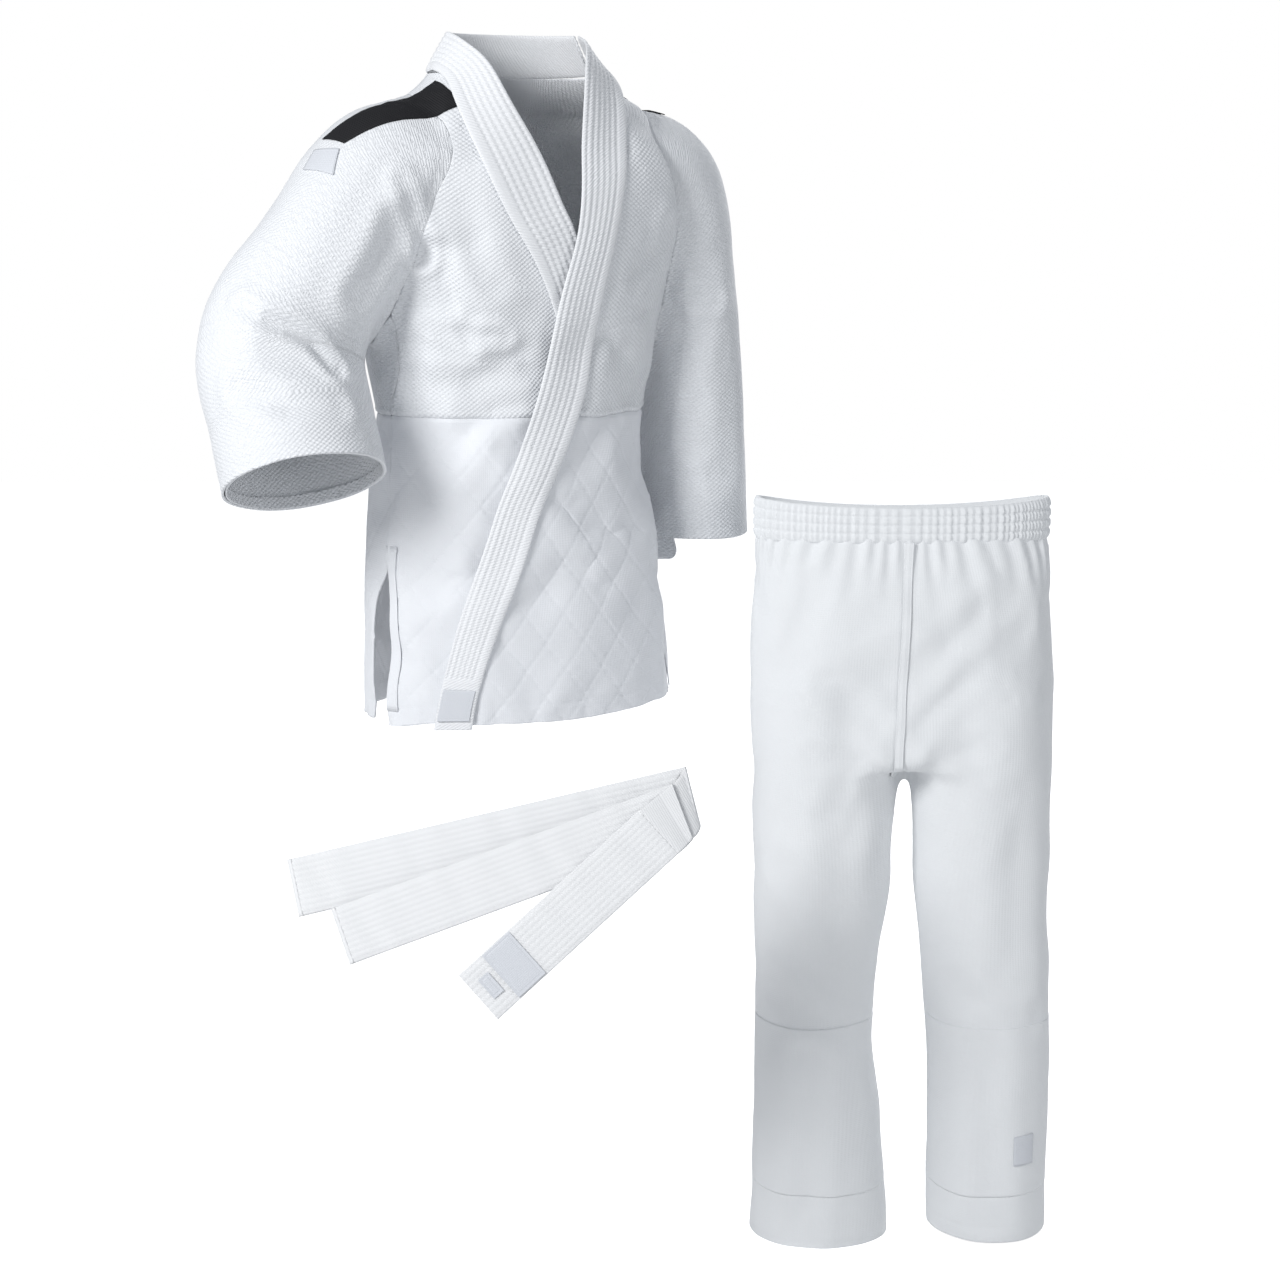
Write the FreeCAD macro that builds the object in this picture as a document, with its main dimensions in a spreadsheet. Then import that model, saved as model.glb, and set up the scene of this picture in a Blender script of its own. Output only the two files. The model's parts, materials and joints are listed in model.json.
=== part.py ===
import FreeCAD, Part

import math
import os
import re

import Sketcher
from FreeCAD import Placement, Rotation, Vector

# Judo uniform on display: a wrap-over jacket, elastic-waisted trousers and a folded belt.
# +Z is up, the viewer's side is -Y. The origin is the middle of the set's footprint, at floor height.
# Left and right are the wearer's. Soft cloth is given as thin closed shells with their true openings.

doc = FreeCAD.newDocument("judo_uniform")

# ---------------------------------------------------------------- driving dimensions (mm)
DIMS = {
    # cloth thicknesses and the air between stacked layers
    "cloth": 3.0, "lapel": 4.0, "light": 2.0, "gap": 0.6, "slack": 2.0,
    # the jacket's frame: place and heading of its own origin, which lies on the floor below the neck
    "jacket_x": -117.6, "jacket_y": 82.6, "jacket_turn": 25.0,
    # torso ovals: height, centre and half sizes
    "hem_level": 578.0, "hem_wide": 168.0, "hem_deep": 118.0, "hem_back": 40.0,
    "waist_level": 893.0, "waist_wide": 150.0, "waist_deep": 110.0, "waist_back": 42.0,
    "chest_level": 1035.0, "chest_wide": 166.0, "chest_deep": 115.0, "chest_back": 33.0,
    "armpit_level": 1110.0, "armpit_wide": 176.0, "armpit_deep": 101.0, "armpit_back": 16.0,
    "yoke_level": 1180.0, "yoke_wide": 152.0, "yoke_deep": 79.0, "yoke_back": 5.0,
    "neck_level": 1226.0, "neck_wide": 90.0, "neck_deep": 60.0, "neck_back": 2.0,
    "collar_rise": 48.0, "collar_wide": 62.0, "collar_deep": 54.0, "neck_side": -15.0,
    # jacket seams
    "side_seam": 10.0, "armhole_side": 163.0, "armhole_base": 1020.0, "flap_level": 1037.0,
    "flap_hinge": 100.0, "vent_level": 752.0, "lapel_joint": 915.0, "lapel_half": 23.0,
    "tape_near": 107.0, "tape_far": 146.0, "tape_front": -22.0, "tape_back": 26.0,
    # sleeves: centre lines and half sizes
    "sleeve_start": 171.0, "shoulder_side": 125.0, "shoulder_level": 1147.0,
    "right_elbow_x": -252.0, "right_elbow_y": 15.0, "right_elbow_level": 965.0,
    "right_cuff_x": -256.0, "right_cuff_y": -48.0, "right_cuff_level": 842.0,
    "left_elbow_x": 206.0, "left_elbow_y": 50.0, "left_elbow_level": 900.0,
    "left_cuff_x": 212.0, "left_cuff_y": 54.0, "left_cuff_level": 757.0,
    "right_sleeve_half": 78.0, "left_sleeve_wide": 52.0, "left_sleeve_deep": 76.0, "cuff_hem": 14.0,
    # trousers: place, levels and half sizes
    "trousers_x": 266.4, "trousers_y": 82.6,
    "waist_top": 808.0, "casing_rise": 42.0, "waistband_wide": 152.0, "waistband_deep": 46.0,
    "seat_level": 650.0, "seat_wide": 160.0, "seat_deep": 66.0,
    "leg_level": 543.0, "leg_wide": 162.0, "leg_deep": 72.0, "knee_level": 258.0,
    "right_leg_x": -80.0, "right_leg_wide": 76.0, "right_knee_x": -86.0, "right_knee_wide": 68.0,
    "right_hem_x": -77.0, "right_hem_wide": 77.0, "right_hem_level": 0.0,
    "left_leg_x": 80.0, "left_leg_wide": 78.0, "left_knee_x": 100.0, "left_knee_wide": 69.0,
    "left_hem_x": 107.0, "left_hem_wide": 66.0, "left_hem_level": 18.0,
    "shin_deep": 62.0, "leg_hem": 16.0, "tape_half": 4.5, "patch_half": 50.0, "patch_drop": 190.0,
    # belt: place and tilt of the plane that it is laid out in, and its strip
    "belt_x": -138.6, "belt_y": -247.4, "belt_level": 440.0, "belt_tilt": 70.0,
    "belt_wide": 54.0, "belt_thick": 4.0, "belt_pitch": 5.0,
    # sewn-on patches
    "patch_wide": 30.0, "patch_tall": 33.0, "patch_thick": 0.8,
}

sheet = doc.addObject("Spreadsheet::Sheet", "Dims")
for row, (alias, value) in enumerate(DIMS.items(), start=1):
    sheet.set("A%d" % row, alias)
    sheet.set("B%d" % row, str(value))
    sheet.setAlias("B%d" % row, alias)
doc.recompute()
SCRATCH = "D1"

# middle lines of the lapels from hem to neck, as (x, level) seen from the front of the jacket
RIGHT_LAPEL_LINE = [("64", "hem_level + 2"), ("42", "900"), ("22", "1000"), ("-1", "1050"),
                    ("-32", "1098"), ("-63", "1146"), ("-82", "1185"), ("-80", "neck_level")]
LEFT_LAPEL_LOWER = [("-107", "hem_level"), ("4", "lapel_joint - slack / 2")]
LEFT_LAPEL_MIDDLE = [("5", "lapel_joint + slack / 2"), ("20", "flap_level")]
LEFT_LAPEL_UPPER = [("22", "flap_level + slack"), ("31", "1082"), ("42", "1128"), ("54", "1180"),
                    ("56", "neck_level")]
ASIDE = 230.0   # further out than any side of the garment that it bounds

nodes = []


def bound(text):
    """An expression in which each name stands for its cell of the sheet."""
    return re.sub(r"[a-z][a-z_]*", lambda found: "Dims." + found.group(), text)


def spot(x, y, z):
    """A point from three dimension names or numbers."""
    return Vector(*[DIMS[c] if isinstance(c, str) else c for c in (x, y, z)])


def keep(obj, label, frame):
    """Names a finished sub-part and puts it in its garment's frame."""
    obj.Label = label
    obj.Placement = frame
    nodes.append(obj)
    return obj


# ---------------------------------------------------------------- building blocks
def oval(centre, half_x, half_y, lean=None):
    """An ellipse across a garment. lean is the direction of the tube that it belongs to."""
    ring = doc.addObject("Part::Ellipse", "oval")
    turned = lean or Rotation()
    wide_first = value_of(half_x) >= value_of(half_y)
    ring.setExpression("MajorRadius", bound(half_x if wide_first else half_y))
    ring.setExpression("MinorRadius", bound(half_y if wide_first else half_x))
    quarter = Rotation() if wide_first else Rotation(Vector(0, 0, 1), 90)
    ring.Placement = Placement(Vector(), turned * quarter)
    for axis, term in zip("xyz", centre):
        ring.setExpression(".Placement.Base." + axis, bound(term))
    return ring


def value_of(text):
    """The value that an expression has now, read back from a scratch cell of the sheet."""
    sheet.set(SCRATCH, "=" + text)
    sheet.recompute()
    return float(sheet.get(SCRATCH))


lofts = {}


def loft(family, grow):
    """The solid through a family of ovals, each grown by the same amount."""
    if (family, grow) not in lofts:
        body = doc.addObject("Part::Loft", family + "_loft")
        body.Sections = [
            oval(centre, half_x + grow, half_y + grow, lean)
            for centre, half_x, half_y, lean in FAMILIES[family]
        ]
        body.Solid = True
        body.Ruled = True
        lofts[family, grow] = body
    return lofts[family, grow]


shells = {}


def shell(family, outer, inner):
    """The tube wall between two growths of a family of ovals."""
    if (family, outer, inner) not in shells:
        wall = doc.addObject("Part::Cut", family + "_shell")
        wall.Base = loft(family, outer)
        wall.Tool = loft(family, inner)
        shells[family, outer, inner] = wall
    return shells[family, outer, inner]


def region(corners, plane="XZ_Plane", reach=600.0, start=0.0, side="front"):
    """A prism over a polygon, to the front, the back, both ways or upwards from start."""
    body = doc.addObject("PartDesign::Body", "region")
    sketch = body.newObject("Sketcher::SketchObject", "outline")
    origin_plane = next(o for o in body.Origin.OriginFeatures if o.Role == plane)
    sketch.AttachmentSupport = (origin_plane, [""])
    sketch.MapMode = "FlatFace"
    count = len(corners)
    draft = [Vector(100, 0, 0) + Rotation(Vector(0, 0, 1), 360.0 * k / count).multVec(Vector(50, 0, 0))
             for k in range(count)]
    for k in range(count):
        sketch.addGeometry(Part.LineSegment(draft[k], draft[(k + 1) % count]), False)
    for k in range(count):
        sketch.addConstraint(Sketcher.Constraint("Coincident", k, 2, (k + 1) % count, 1))
    for k, corner in enumerate(corners):
        for kind, term, now in zip(("DistanceX", "DistanceY"), corner, (draft[k].x, draft[k].y)):
            index = sketch.addConstraint(Sketcher.Constraint(kind, -1, 1, k, 1, now))
            sketch.setExpression("Constraints[%d]" % index, bound(str(term)))
    pad = body.newObject("PartDesign::Pad", "pad")
    pad.Profile = sketch
    pad.Length = reach
    pad.Midplane = side == "both"
    pad.Reversed = side == "back"
    body.Tip = pad
    body.Placement.Base = Vector(0, 0, start) if plane == "XY_Plane" else Vector(0, start, 0)
    return body


def panel(label, frame, wall, prism):
    """The piece of a tube wall that lies inside a prism."""
    piece = doc.addObject("Part::Common", label)
    piece.Base = wall
    piece.Tool = prism
    return keep(piece, label, frame)


def beyond(point, direction):
    """A block that holds everything beyond a point in a direction."""
    block = doc.addObject("Part::Box", "beyond")
    size = 400.0
    block.Length = block.Width = block.Height = size
    turned = Rotation(Vector(0, 0, 1), direction)
    block.Placement = Placement(point - turned.multVec(Vector(size / 2, size / 2, 0)), turned)
    return block


def trimmed(wall, block):
    """A tube wall without the part that lies in a block."""
    cut = doc.addObject("Part::Cut", "trimmed")
    cut.Base = wall
    cut.Tool = block
    return cut


def slab(label, frame, width, height, thickness):
    """A rectangular strip, drawn about its middle in XY and padded up."""
    body = doc.addObject("PartDesign::Body", label)
    sketch = body.newObject("Sketcher::SketchObject", "outline")
    sketch.AttachmentSupport = (next(o for o in body.Origin.OriginFeatures if o.Role == "XY_Plane"), [""])
    sketch.MapMode = "FlatFace"
    signs = [(-1, -1), (1, -1), (1, 1), (-1, 1)]
    for k in range(4):
        ends = [Vector(50 * sx, 20 * sy, 0) for sx, sy in (signs[k], signs[(k + 1) % 4])]
        sketch.addGeometry(Part.LineSegment(*ends), False)
    for k in range(4):
        sketch.addConstraint(Sketcher.Constraint("Coincident", k, 2, (k + 1) % 4, 1))
    for k, (sx, sy) in enumerate(signs):
        across = sketch.addConstraint(Sketcher.Constraint("DistanceX", -1, 1, k, 1, 50.0 * sx))
        along = sketch.addConstraint(Sketcher.Constraint("DistanceY", -1, 1, k, 1, 20.0 * sy))
        sketch.setExpression("Constraints[%d]" % across, bound("(%s) * %s" % (width, sx * 0.5)))
        sketch.setExpression("Constraints[%d]" % along, bound("(%s) * %s" % (height, sy * 0.5)))
    pad = body.newObject("PartDesign::Pad", "pad")
    pad.Profile = sketch
    pad.setExpression("Length", bound(thickness))
    body.Tip = pad
    return keep(body, label, frame)


# ---------------------------------------------------------------- frames and centre lines
JACKET = Placement(spot("jacket_x", "jacket_y", 0), Rotation(Vector(0, 0, 1), DIMS["jacket_turn"]))
TROUSERS = Placement(spot("trousers_x", "trousers_y", 0), Rotation())
BELT = Placement(spot("belt_x", "belt_y", "belt_level"), Rotation(Vector(1, 0, 0), DIMS["belt_tilt"]))

right_shoulder = Vector(-DIMS["shoulder_side"], 0, DIMS["shoulder_level"])
right_elbow = spot("right_elbow_x", "right_elbow_y", "right_elbow_level")
right_cuff = spot("right_cuff_x", "right_cuff_y", "right_cuff_level")
left_shoulder = Vector(DIMS["shoulder_side"], 10, DIMS["shoulder_level"])
left_elbow = spot("left_elbow_x", "left_elbow_y", "left_elbow_level")
left_cuff = spot("left_cuff_x", "left_cuff_y", "left_cuff_level")


def torso_ring(name, side="0"):
    return ((side, name + "_back", name + "_level"), name + "_wide", name + "_deep", None)


def at(point):
    """A point as three expression terms."""
    return tuple("%.3f" % c for c in point)


def tube_rings(start, end, half_x, half_y, overrun_start=0.0, overrun_end=0.0):
    """Rings along a straight sleeve piece, with its ends run on past the centre line's ends."""
    way = (end - start).normalize()
    lean = Rotation(Vector(0, 0, -1), way)
    first, last = start - way * overrun_start, end + way * overrun_end
    return [(at(first), half_x, half_y, lean), (at(last), half_x, half_y, lean)]


MITRE = 70.0
FAMILIES = {
    "torso": [torso_ring("hem"), torso_ring("waist", "-10"), torso_ring("chest"),
              torso_ring("armpit"), torso_ring("yoke"), torso_ring("neck", "neck_side")],
    "neck": [torso_ring("neck", "neck_side"),
             (("neck_side", "neck_back", "neck_level + collar_rise"), "collar_wide", "collar_deep", None)],
    "right_upper": tube_rings(right_shoulder, right_elbow, "right_sleeve_half + 6", "right_sleeve_half",
                              0.0, MITRE),
    "right_fore": tube_rings(right_elbow, right_cuff, "right_sleeve_half + 2", "right_sleeve_half",
                             MITRE, 0.0),
    "left_upper": tube_rings(left_shoulder, left_elbow, "left_sleeve_wide + 6", "left_sleeve_deep",
                             0.0, MITRE),
    "left_fore": tube_rings(left_elbow, left_cuff, "left_sleeve_wide", "left_sleeve_deep", MITRE, 0.0),
    "hips": [(("0", "0", "leg_level"), "leg_wide", "leg_deep", None),
             (("0", "0", "seat_level"), "seat_wide", "seat_deep", None),
             (("0", "0", "waist_top"), "waistband_wide", "waistband_deep", None)],
}
for leg in ("right", "left"):
    FAMILIES[leg + "_leg"] = [
        ((leg + "_leg_x", "0", "leg_level - slack"), leg + "_leg_wide", "leg_deep", None),
        ((leg + "_knee_x", "0", "knee_level"), leg + "_knee_wide", "shin_deep", None),
        ((leg + "_hem_x", "0", leg + "_hem_level"), leg + "_hem_wide", "shin_deep", None),
    ]

# stacked layers of the jacket's front, each as (outer, inner) growth of the torso ovals
UNDER_FRONT = (" + cloth", " + 0")
UNDER_LAPEL = (" + cloth + gap + lapel", " + cloth + gap")
OVER_FRONT = (" + cloth * 2 + gap * 2 + lapel", " + cloth + gap * 2 + lapel")
OVER_LAPEL = (" + cloth * 2 + gap * 3 + lapel * 2", " + cloth * 2 + gap * 3 + lapel")
OVER_PATCH = (" + cloth * 2 + gap * 3 + lapel * 2 + patch_thick + 0.2",
              " + cloth * 2 + gap * 3 + lapel * 2 + 0.2")
TAPE = (" + cloth + gap + patch_thick", " + cloth + gap")


# ---------------------------------------------------------------- jacket
def ribbon(line, half="lapel_half"):
    """Corners of a band of even width about a line of (x, z) points."""
    right_side = [(x + " + " + half, z) for x, z in line]
    left_side = [(x + " - " + half, z) for x, z in reversed(line)]
    return right_side + left_side


def box_of(left, right, bottom, top):
    """Corners of an upright rectangle."""
    return [(left, bottom), (right, bottom), (right, top), (left, top)]


def front_panels():
    """The two fronts: the right lies under, the left over it with a flap that opens."""
    front = DIMS["side_seam"] - 2
    under = shell("torso", *UNDER_FRONT)
    over = shell("torso", *OVER_FRONT)
    above, below = "waist_level + slack / 2", "waist_level - slack / 2"
    left_of_flap, over_flap = "flap_hinge + slack", "flap_level + slack"
    panel("right_front_panel", JACKET, under, region(
        [(-ASIDE, above), ("40", above)] + RIGHT_LAPEL_LINE[2:]
        + [("-armhole_side", "neck_level"), ("-armhole_side", "armhole_base"),
           (-ASIDE, "armhole_base")], start=front))
    panel("right_front_skirt", JACKET, under, region(
        [(-ASIDE, below), ("40", below), RIGHT_LAPEL_LINE[0], (-ASIDE, "hem_level")], start=front))
    panel("left_front_panel", JACKET, over, region(
        [(left_of_flap, above), (ASIDE, above), (ASIDE, "armhole_base"),
         ("armhole_side", "armhole_base"), ("armhole_side", "neck_level")]
        + LEFT_LAPEL_UPPER[::-1] + [(left_of_flap, over_flap)], start=front))
    panel("left_side_skirt", JACKET, over, region(
        box_of(left_of_flap, ASIDE, "hem_level", below), start=front))
    panel("left_front_flap", JACKET, over, region(
        [("2", above), ("flap_hinge", above), ("flap_hinge", "flap_level"), LEFT_LAPEL_MIDDLE[1]],
        start=front))
    panel("left_front_skirt", JACKET, over, region(
        [LEFT_LAPEL_LOWER[0], ("flap_hinge", "hem_level"), ("flap_hinge", below), ("-3", below)],
        start=front))


def back_panels():
    """The back above the waist seam, and the back skirt that hangs free between the side vents."""
    back = DIMS["side_seam"] + 2
    wall = shell("torso", *UNDER_FRONT)
    panel("back_panel", JACKET, wall, region(
        [(-ASIDE, "waist_level + slack / 2"), (ASIDE, "waist_level + slack / 2"),
         (ASIDE, "armhole_base"), ("armhole_side", "armhole_base"), ("armhole_side", "neck_level"),
         ("-armhole_side", "neck_level"), ("-armhole_side", "armhole_base"),
         (-ASIDE, "armhole_base")], start=back, side="back"))
    panel("back_skirt", JACKET, wall, region(
        box_of(-ASIDE, ASIDE, "hem_level", "waist_level - slack / 2"), start=back, side="back"))


def lapels():
    """The collar band and the lapels that run on from it down both front edges."""
    panel("neck_band", JACKET, shell("neck", " + lapel", " + 0"), region(
        box_of(-ASIDE, ASIDE, "neck_level + 1", "neck_level + collar_rise"), start=-6.0, side="back"))
    panel("right_lapel", JACKET, shell("torso", *UNDER_LAPEL), region(
        ribbon(RIGHT_LAPEL_LINE)))
    over = shell("torso", *OVER_LAPEL)
    panel("left_lapel_upper", JACKET, over, region(ribbon(LEFT_LAPEL_UPPER)))
    panel("left_lapel_middle", JACKET, over, region(ribbon(LEFT_LAPEL_MIDDLE)))
    panel("left_lapel_lower", JACKET, over, region(ribbon(LEFT_LAPEL_LOWER)))
    panel("lapel_patch", JACKET, shell("torso", *OVER_PATCH), region(
        ribbon([("-100", "608"), ("-89", "608 + patch_tall")], "patch_wide / 2")))


def jacket_trims():
    """Shoulder tapes, side vent facings and the label in the neck."""
    tape = shell("torso", *TAPE)
    facing = shell("torso", " - gap", " - gap - light")
    for side, near, far, inside in (
            ("right", "-tape_near", "-tape_far", -100),
            ("left", "tape_near", "tape_far", 100)):
        panel(side + "_shoulder_tape", JACKET, tape, region(
            box_of(near, far, "tape_front", "tape_back"),
            plane="XY_Plane", start=DIMS["armpit_level"] + 40, reach=90.0, side="up"))
        panel(side + "_vent_facing", JACKET, facing, region(
            box_of(inside, math.copysign(ASIDE, inside), "hem_level", "vent_level"),
            start=DIMS["side_seam"] - 2, reach=14.0))
    panel("neck_label", JACKET, shell("neck", " - gap", " - gap - patch_thick"), region(
        box_of("neck_side - patch_wide / 2", "neck_side + patch_wide / 2", "neck_level + 6",
               "neck_level + 30"), side="back"))


def sleeves():
    """Each sleeve: an upper tube at the shoulder, a lower tube from the elbow, and a cuff hem."""
    for side, sign, shoulder, elbow, cuff in (
            ("right", -1, right_shoulder, right_elbow, right_cuff),
            ("left", 1, left_shoulder, left_elbow, left_cuff)):
        way_in = (elbow - shoulder).normalize()
        way_out = (cuff - elbow).normalize()
        middle = (way_in + way_out).normalize()
        joint_gap = DIMS["slack"] / 2
        upper = trimmed(shell(side + "_upper", " + cloth", " + 0"), beyond(elbow - middle * joint_gap, middle))
        panel(side + "_upper_sleeve", JACKET, upper, region(
            box_of("%d * sleeve_start" % sign, sign * 420, 700, 1400), side="both"))
        lower = trimmed(shell(side + "_fore", " + cloth", " + 0"), beyond(elbow + middle * joint_gap, middle * -1))
        keep(lower, side + "_forearm_sleeve", JACKET)
        hem = trimmed(shell(side + "_fore", " - gap", " - gap - light"),
                      beyond(cuff - way_out * DIMS["cuff_hem"], way_out * -1))
        keep(hem, side + "_cuff_hem", JACKET)
    way = (right_elbow - right_shoulder).normalize()
    out = Vector(-1, 0, 0) + way * way.x
    out.normalize()
    front = Vector(0, -1, 0)
    lift = (out + front * 0.25).normalize()
    middle = right_shoulder + way * 66 + lift * (DIMS["right_sleeve_half"] + 9.8)
    slab("right_shoulder_patch", JACKET * Placement(middle, Rotation(Vector(0, 0, 1), lift)),
         "patch_wide", "patch_tall", "patch_thick")


# ---------------------------------------------------------------- trousers
def trousers():
    """Elastic waistband, two hip panels with a taped front seam, and the two legs."""
    wall = shell("hips", " + light", " + 0")
    casing_base = "waist_top - casing_rise"
    for side, near, far in (("right", -0.5, -ASIDE), ("left", 0.5, ASIDE)):
        panel(side + "_hip_panel", TROUSERS, wall, region(
            box_of(near, far, "leg_level", casing_base + " - 1"), side="both"))
    outer = shell("hips", " + light * 2.5", " - light * 0.5")
    hollow = shell("hips", " + light * 1.75", " + light * 0.25")
    elastic = shell("hips", " + light * 1.5", " + light * 0.5")
    groove = doc.addObject("Part::Common", "elastic_channel")
    groove.Base = hollow
    groove.Tool = region(box_of(-ASIDE, ASIDE, casing_base + " + 4", "waist_top - 4"), side="both")
    ring = doc.addObject("Part::Common", "casing_ring")
    ring.Base = outer
    ring.Tool = region(box_of(-ASIDE, ASIDE, casing_base, "waist_top + 1"), side="both")
    casing = doc.addObject("Part::Cut", "waistband_casing")
    casing.Base = ring
    casing.Tool = groove
    keep(casing, "waistband_casing", TROUSERS)
    panel("waist_elastic", TROUSERS, elastic, region(
        box_of(-ASIDE, ASIDE, casing_base + " + 6", "waist_top - 6"), side="both"))
    panel("front_seam_tape", TROUSERS, shell("hips", " + light + gap + 1", " + light + gap"), region(
        box_of("-tape_half", "tape_half", "leg_level", casing_base + " - 1")))
    slab("crotch_gusset", TROUSERS * Placement(spot(0, 0, DIMS["leg_level"] + 3), Rotation()),
         "44", "leg_deep * 2 - 14", "light")
    for side in ("right", "left"):
        wall = shell(side + "_leg", " + light", " + 0")
        panel(side + "_thigh", TROUSERS, wall, region(
            box_of(-ASIDE, ASIDE, "knee_level + slack / 2", "leg_level"), side="both"))
        panel(side + "_shin", TROUSERS, wall, region(
            box_of(-ASIDE, ASIDE, side + "_hem_level", "knee_level - slack / 2"), side="both"))
        patch = shell(side + "_leg", " + light + gap + 1", " + light + gap")
        panel(side + "_knee_patch", TROUSERS, patch, region(
            box_of(side + "_knee_x - patch_half", side + "_knee_x + patch_half",
                   "knee_level - patch_drop", "knee_level - 4")))
        fold = shell(side + "_leg", " - gap", " - gap - light")
        panel(side + "_leg_hem", TROUSERS, fold, region(
            box_of(-ASIDE, ASIDE, side + "_hem_level", side + "_hem_level + leg_hem"), side="both"))
    patch = shell("left_leg", " + light * 2 + gap + patch_thick", " + light * 2 + gap")
    panel("leg_patch", TROUSERS, patch, region(
        box_of("left_hem_x + 22", "left_hem_x + 22 + patch_wide * 0.8", "left_hem_level + 86",
               "left_hem_level + 86 + patch_tall")))


# ---------------------------------------------------------------- belt
# each run of the folded belt: left end, right end (on the strip's middle line), level in the stack
BACK_RUN = (Vector(-184, 43.5, 0), Vector(181, 129, 0))
MIDDLE_RUN = (Vector(-138, -1, 0), Vector(172, 113, 0))
FRONT_RUN = (Vector(-14.5, -57.5, 0), Vector(150, 93, 0))
BELT_RUNS = [BACK_RUN, BACK_RUN, MIDDLE_RUN, MIDDLE_RUN, FRONT_RUN]


def run_frame(ends, level):
    """The frame of a belt run: x along it, z out of the stack."""
    way = ends[1] - ends[0]
    middle = (ends[0] + ends[1]) * 0.5 + Vector(0, 0, level * DIMS["belt_pitch"])
    return BELT * Placement(middle, Rotation(Vector(0, 0, 1), math.degrees(math.atan2(way.y, way.x))))


def belt():
    """Five runs of one belt folded on itself, with a blank patch and a size tab at its free end."""
    for level, ends in enumerate(BELT_RUNS):
        slab("belt_run_%d" % (level + 1), run_frame(ends, level), "%.3f" % (ends[1] - ends[0]).Length,
             "belt_wide", "belt_thick")
    top = run_frame(FRONT_RUN, len(BELT_RUNS) - 1)
    length = (FRONT_RUN[1] - FRONT_RUN[0]).Length
    above = DIMS["belt_thick"] + 0.2
    slab("belt_end_patch", top * Placement(Vector(-length / 2 + 44, 0, above), Rotation()),
         "patch_tall", "belt_wide - 6", "patch_thick")
    slab("belt_size_tab", top * Placement(Vector(-length / 2 + 16, 2, above), Rotation()),
         "12", "20", "patch_thick")


front_panels()
back_panels()
lapels()
jacket_trims()
sleeves()
trousers()
belt()
sheet.clear(SCRATCH)
doc.recompute()

# ---------------------------------------------------------------- checks and files
for obj in doc.Objects:
    if "Invalid" in obj.State or "Error" in obj.State:
        raise RuntimeError("%s failed to build" % obj.Label)
for node in nodes:
    if node.Shape.isNull() or not node.Shape.isValid() or not node.Shape.Solids:
        raise RuntimeError("%s has no valid solid" % node.Label)

os.makedirs("parts", exist_ok=True)
for node in nodes:
    node.Shape.exportStep("parts/%s.step" % node.Label)
    box = node.Shape.optimalBoundingBox(False)
    print("%-22s solids %d  volume %9.0f  x %7.1f %7.1f  y %7.1f %7.1f  z %7.1f %7.1f" % (
        node.Label, len(node.Shape.Solids), node.Shape.Volume,
        box.XMin, box.XMax, box.YMin, box.YMax, box.ZMin, box.ZMax))
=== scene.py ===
import json
import math

import bpy
import numpy as np
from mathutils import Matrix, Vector
from mathutils.bvhtree import BVHTree


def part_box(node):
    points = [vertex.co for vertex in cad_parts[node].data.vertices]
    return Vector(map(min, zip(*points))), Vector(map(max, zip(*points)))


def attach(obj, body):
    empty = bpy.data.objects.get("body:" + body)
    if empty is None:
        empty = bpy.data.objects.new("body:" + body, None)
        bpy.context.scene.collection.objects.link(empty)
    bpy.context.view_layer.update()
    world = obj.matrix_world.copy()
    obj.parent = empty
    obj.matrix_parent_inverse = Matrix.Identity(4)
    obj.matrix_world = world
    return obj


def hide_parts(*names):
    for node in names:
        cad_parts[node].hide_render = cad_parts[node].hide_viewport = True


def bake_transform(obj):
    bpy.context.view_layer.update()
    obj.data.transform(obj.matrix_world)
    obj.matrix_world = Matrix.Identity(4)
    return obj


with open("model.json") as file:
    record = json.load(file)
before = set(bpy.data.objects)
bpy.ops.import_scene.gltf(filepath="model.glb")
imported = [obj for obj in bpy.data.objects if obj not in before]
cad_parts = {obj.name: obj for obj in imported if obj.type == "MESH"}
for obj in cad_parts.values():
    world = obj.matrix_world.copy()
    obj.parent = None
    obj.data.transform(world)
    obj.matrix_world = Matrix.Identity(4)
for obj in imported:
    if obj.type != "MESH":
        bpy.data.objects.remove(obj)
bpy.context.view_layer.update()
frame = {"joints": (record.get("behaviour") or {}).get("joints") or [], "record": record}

RECORD = frame["record"]
JOINTS = {joint["name"]: joint for joint in frame["joints"]}
MOUNTS = {mount["name"]: mount for mount in RECORD["mounts"]}
X_AXIS, Y_AXIS, Z_AXIS = np.eye(3)

# All cloth is worked out in millimetres in its own garment's frame, then written out in metres.


# ---------------------------------------------------------------- garment frames
class Frame:
    """A garment's own axes: origin in millimetres and the three directions as columns."""

    def __init__(self, origin, axes):
        self.origin = np.array(origin, float)
        self.axes = np.array(axes, float)

    def out(self, points):
        return (np.asarray(points, float) @ self.axes.T + self.origin) * 0.001


def turned_frame(known, local, forward):
    """An upright frame whose +Y is forward and in which the world point known is local."""
    y = np.array(forward, float)
    axes = np.stack([np.cross(y, Z_AXIS), y, Z_AXIS], axis=1)
    return Frame(np.array(known) * 1000 - axes @ np.array(local, float), axes)


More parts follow.
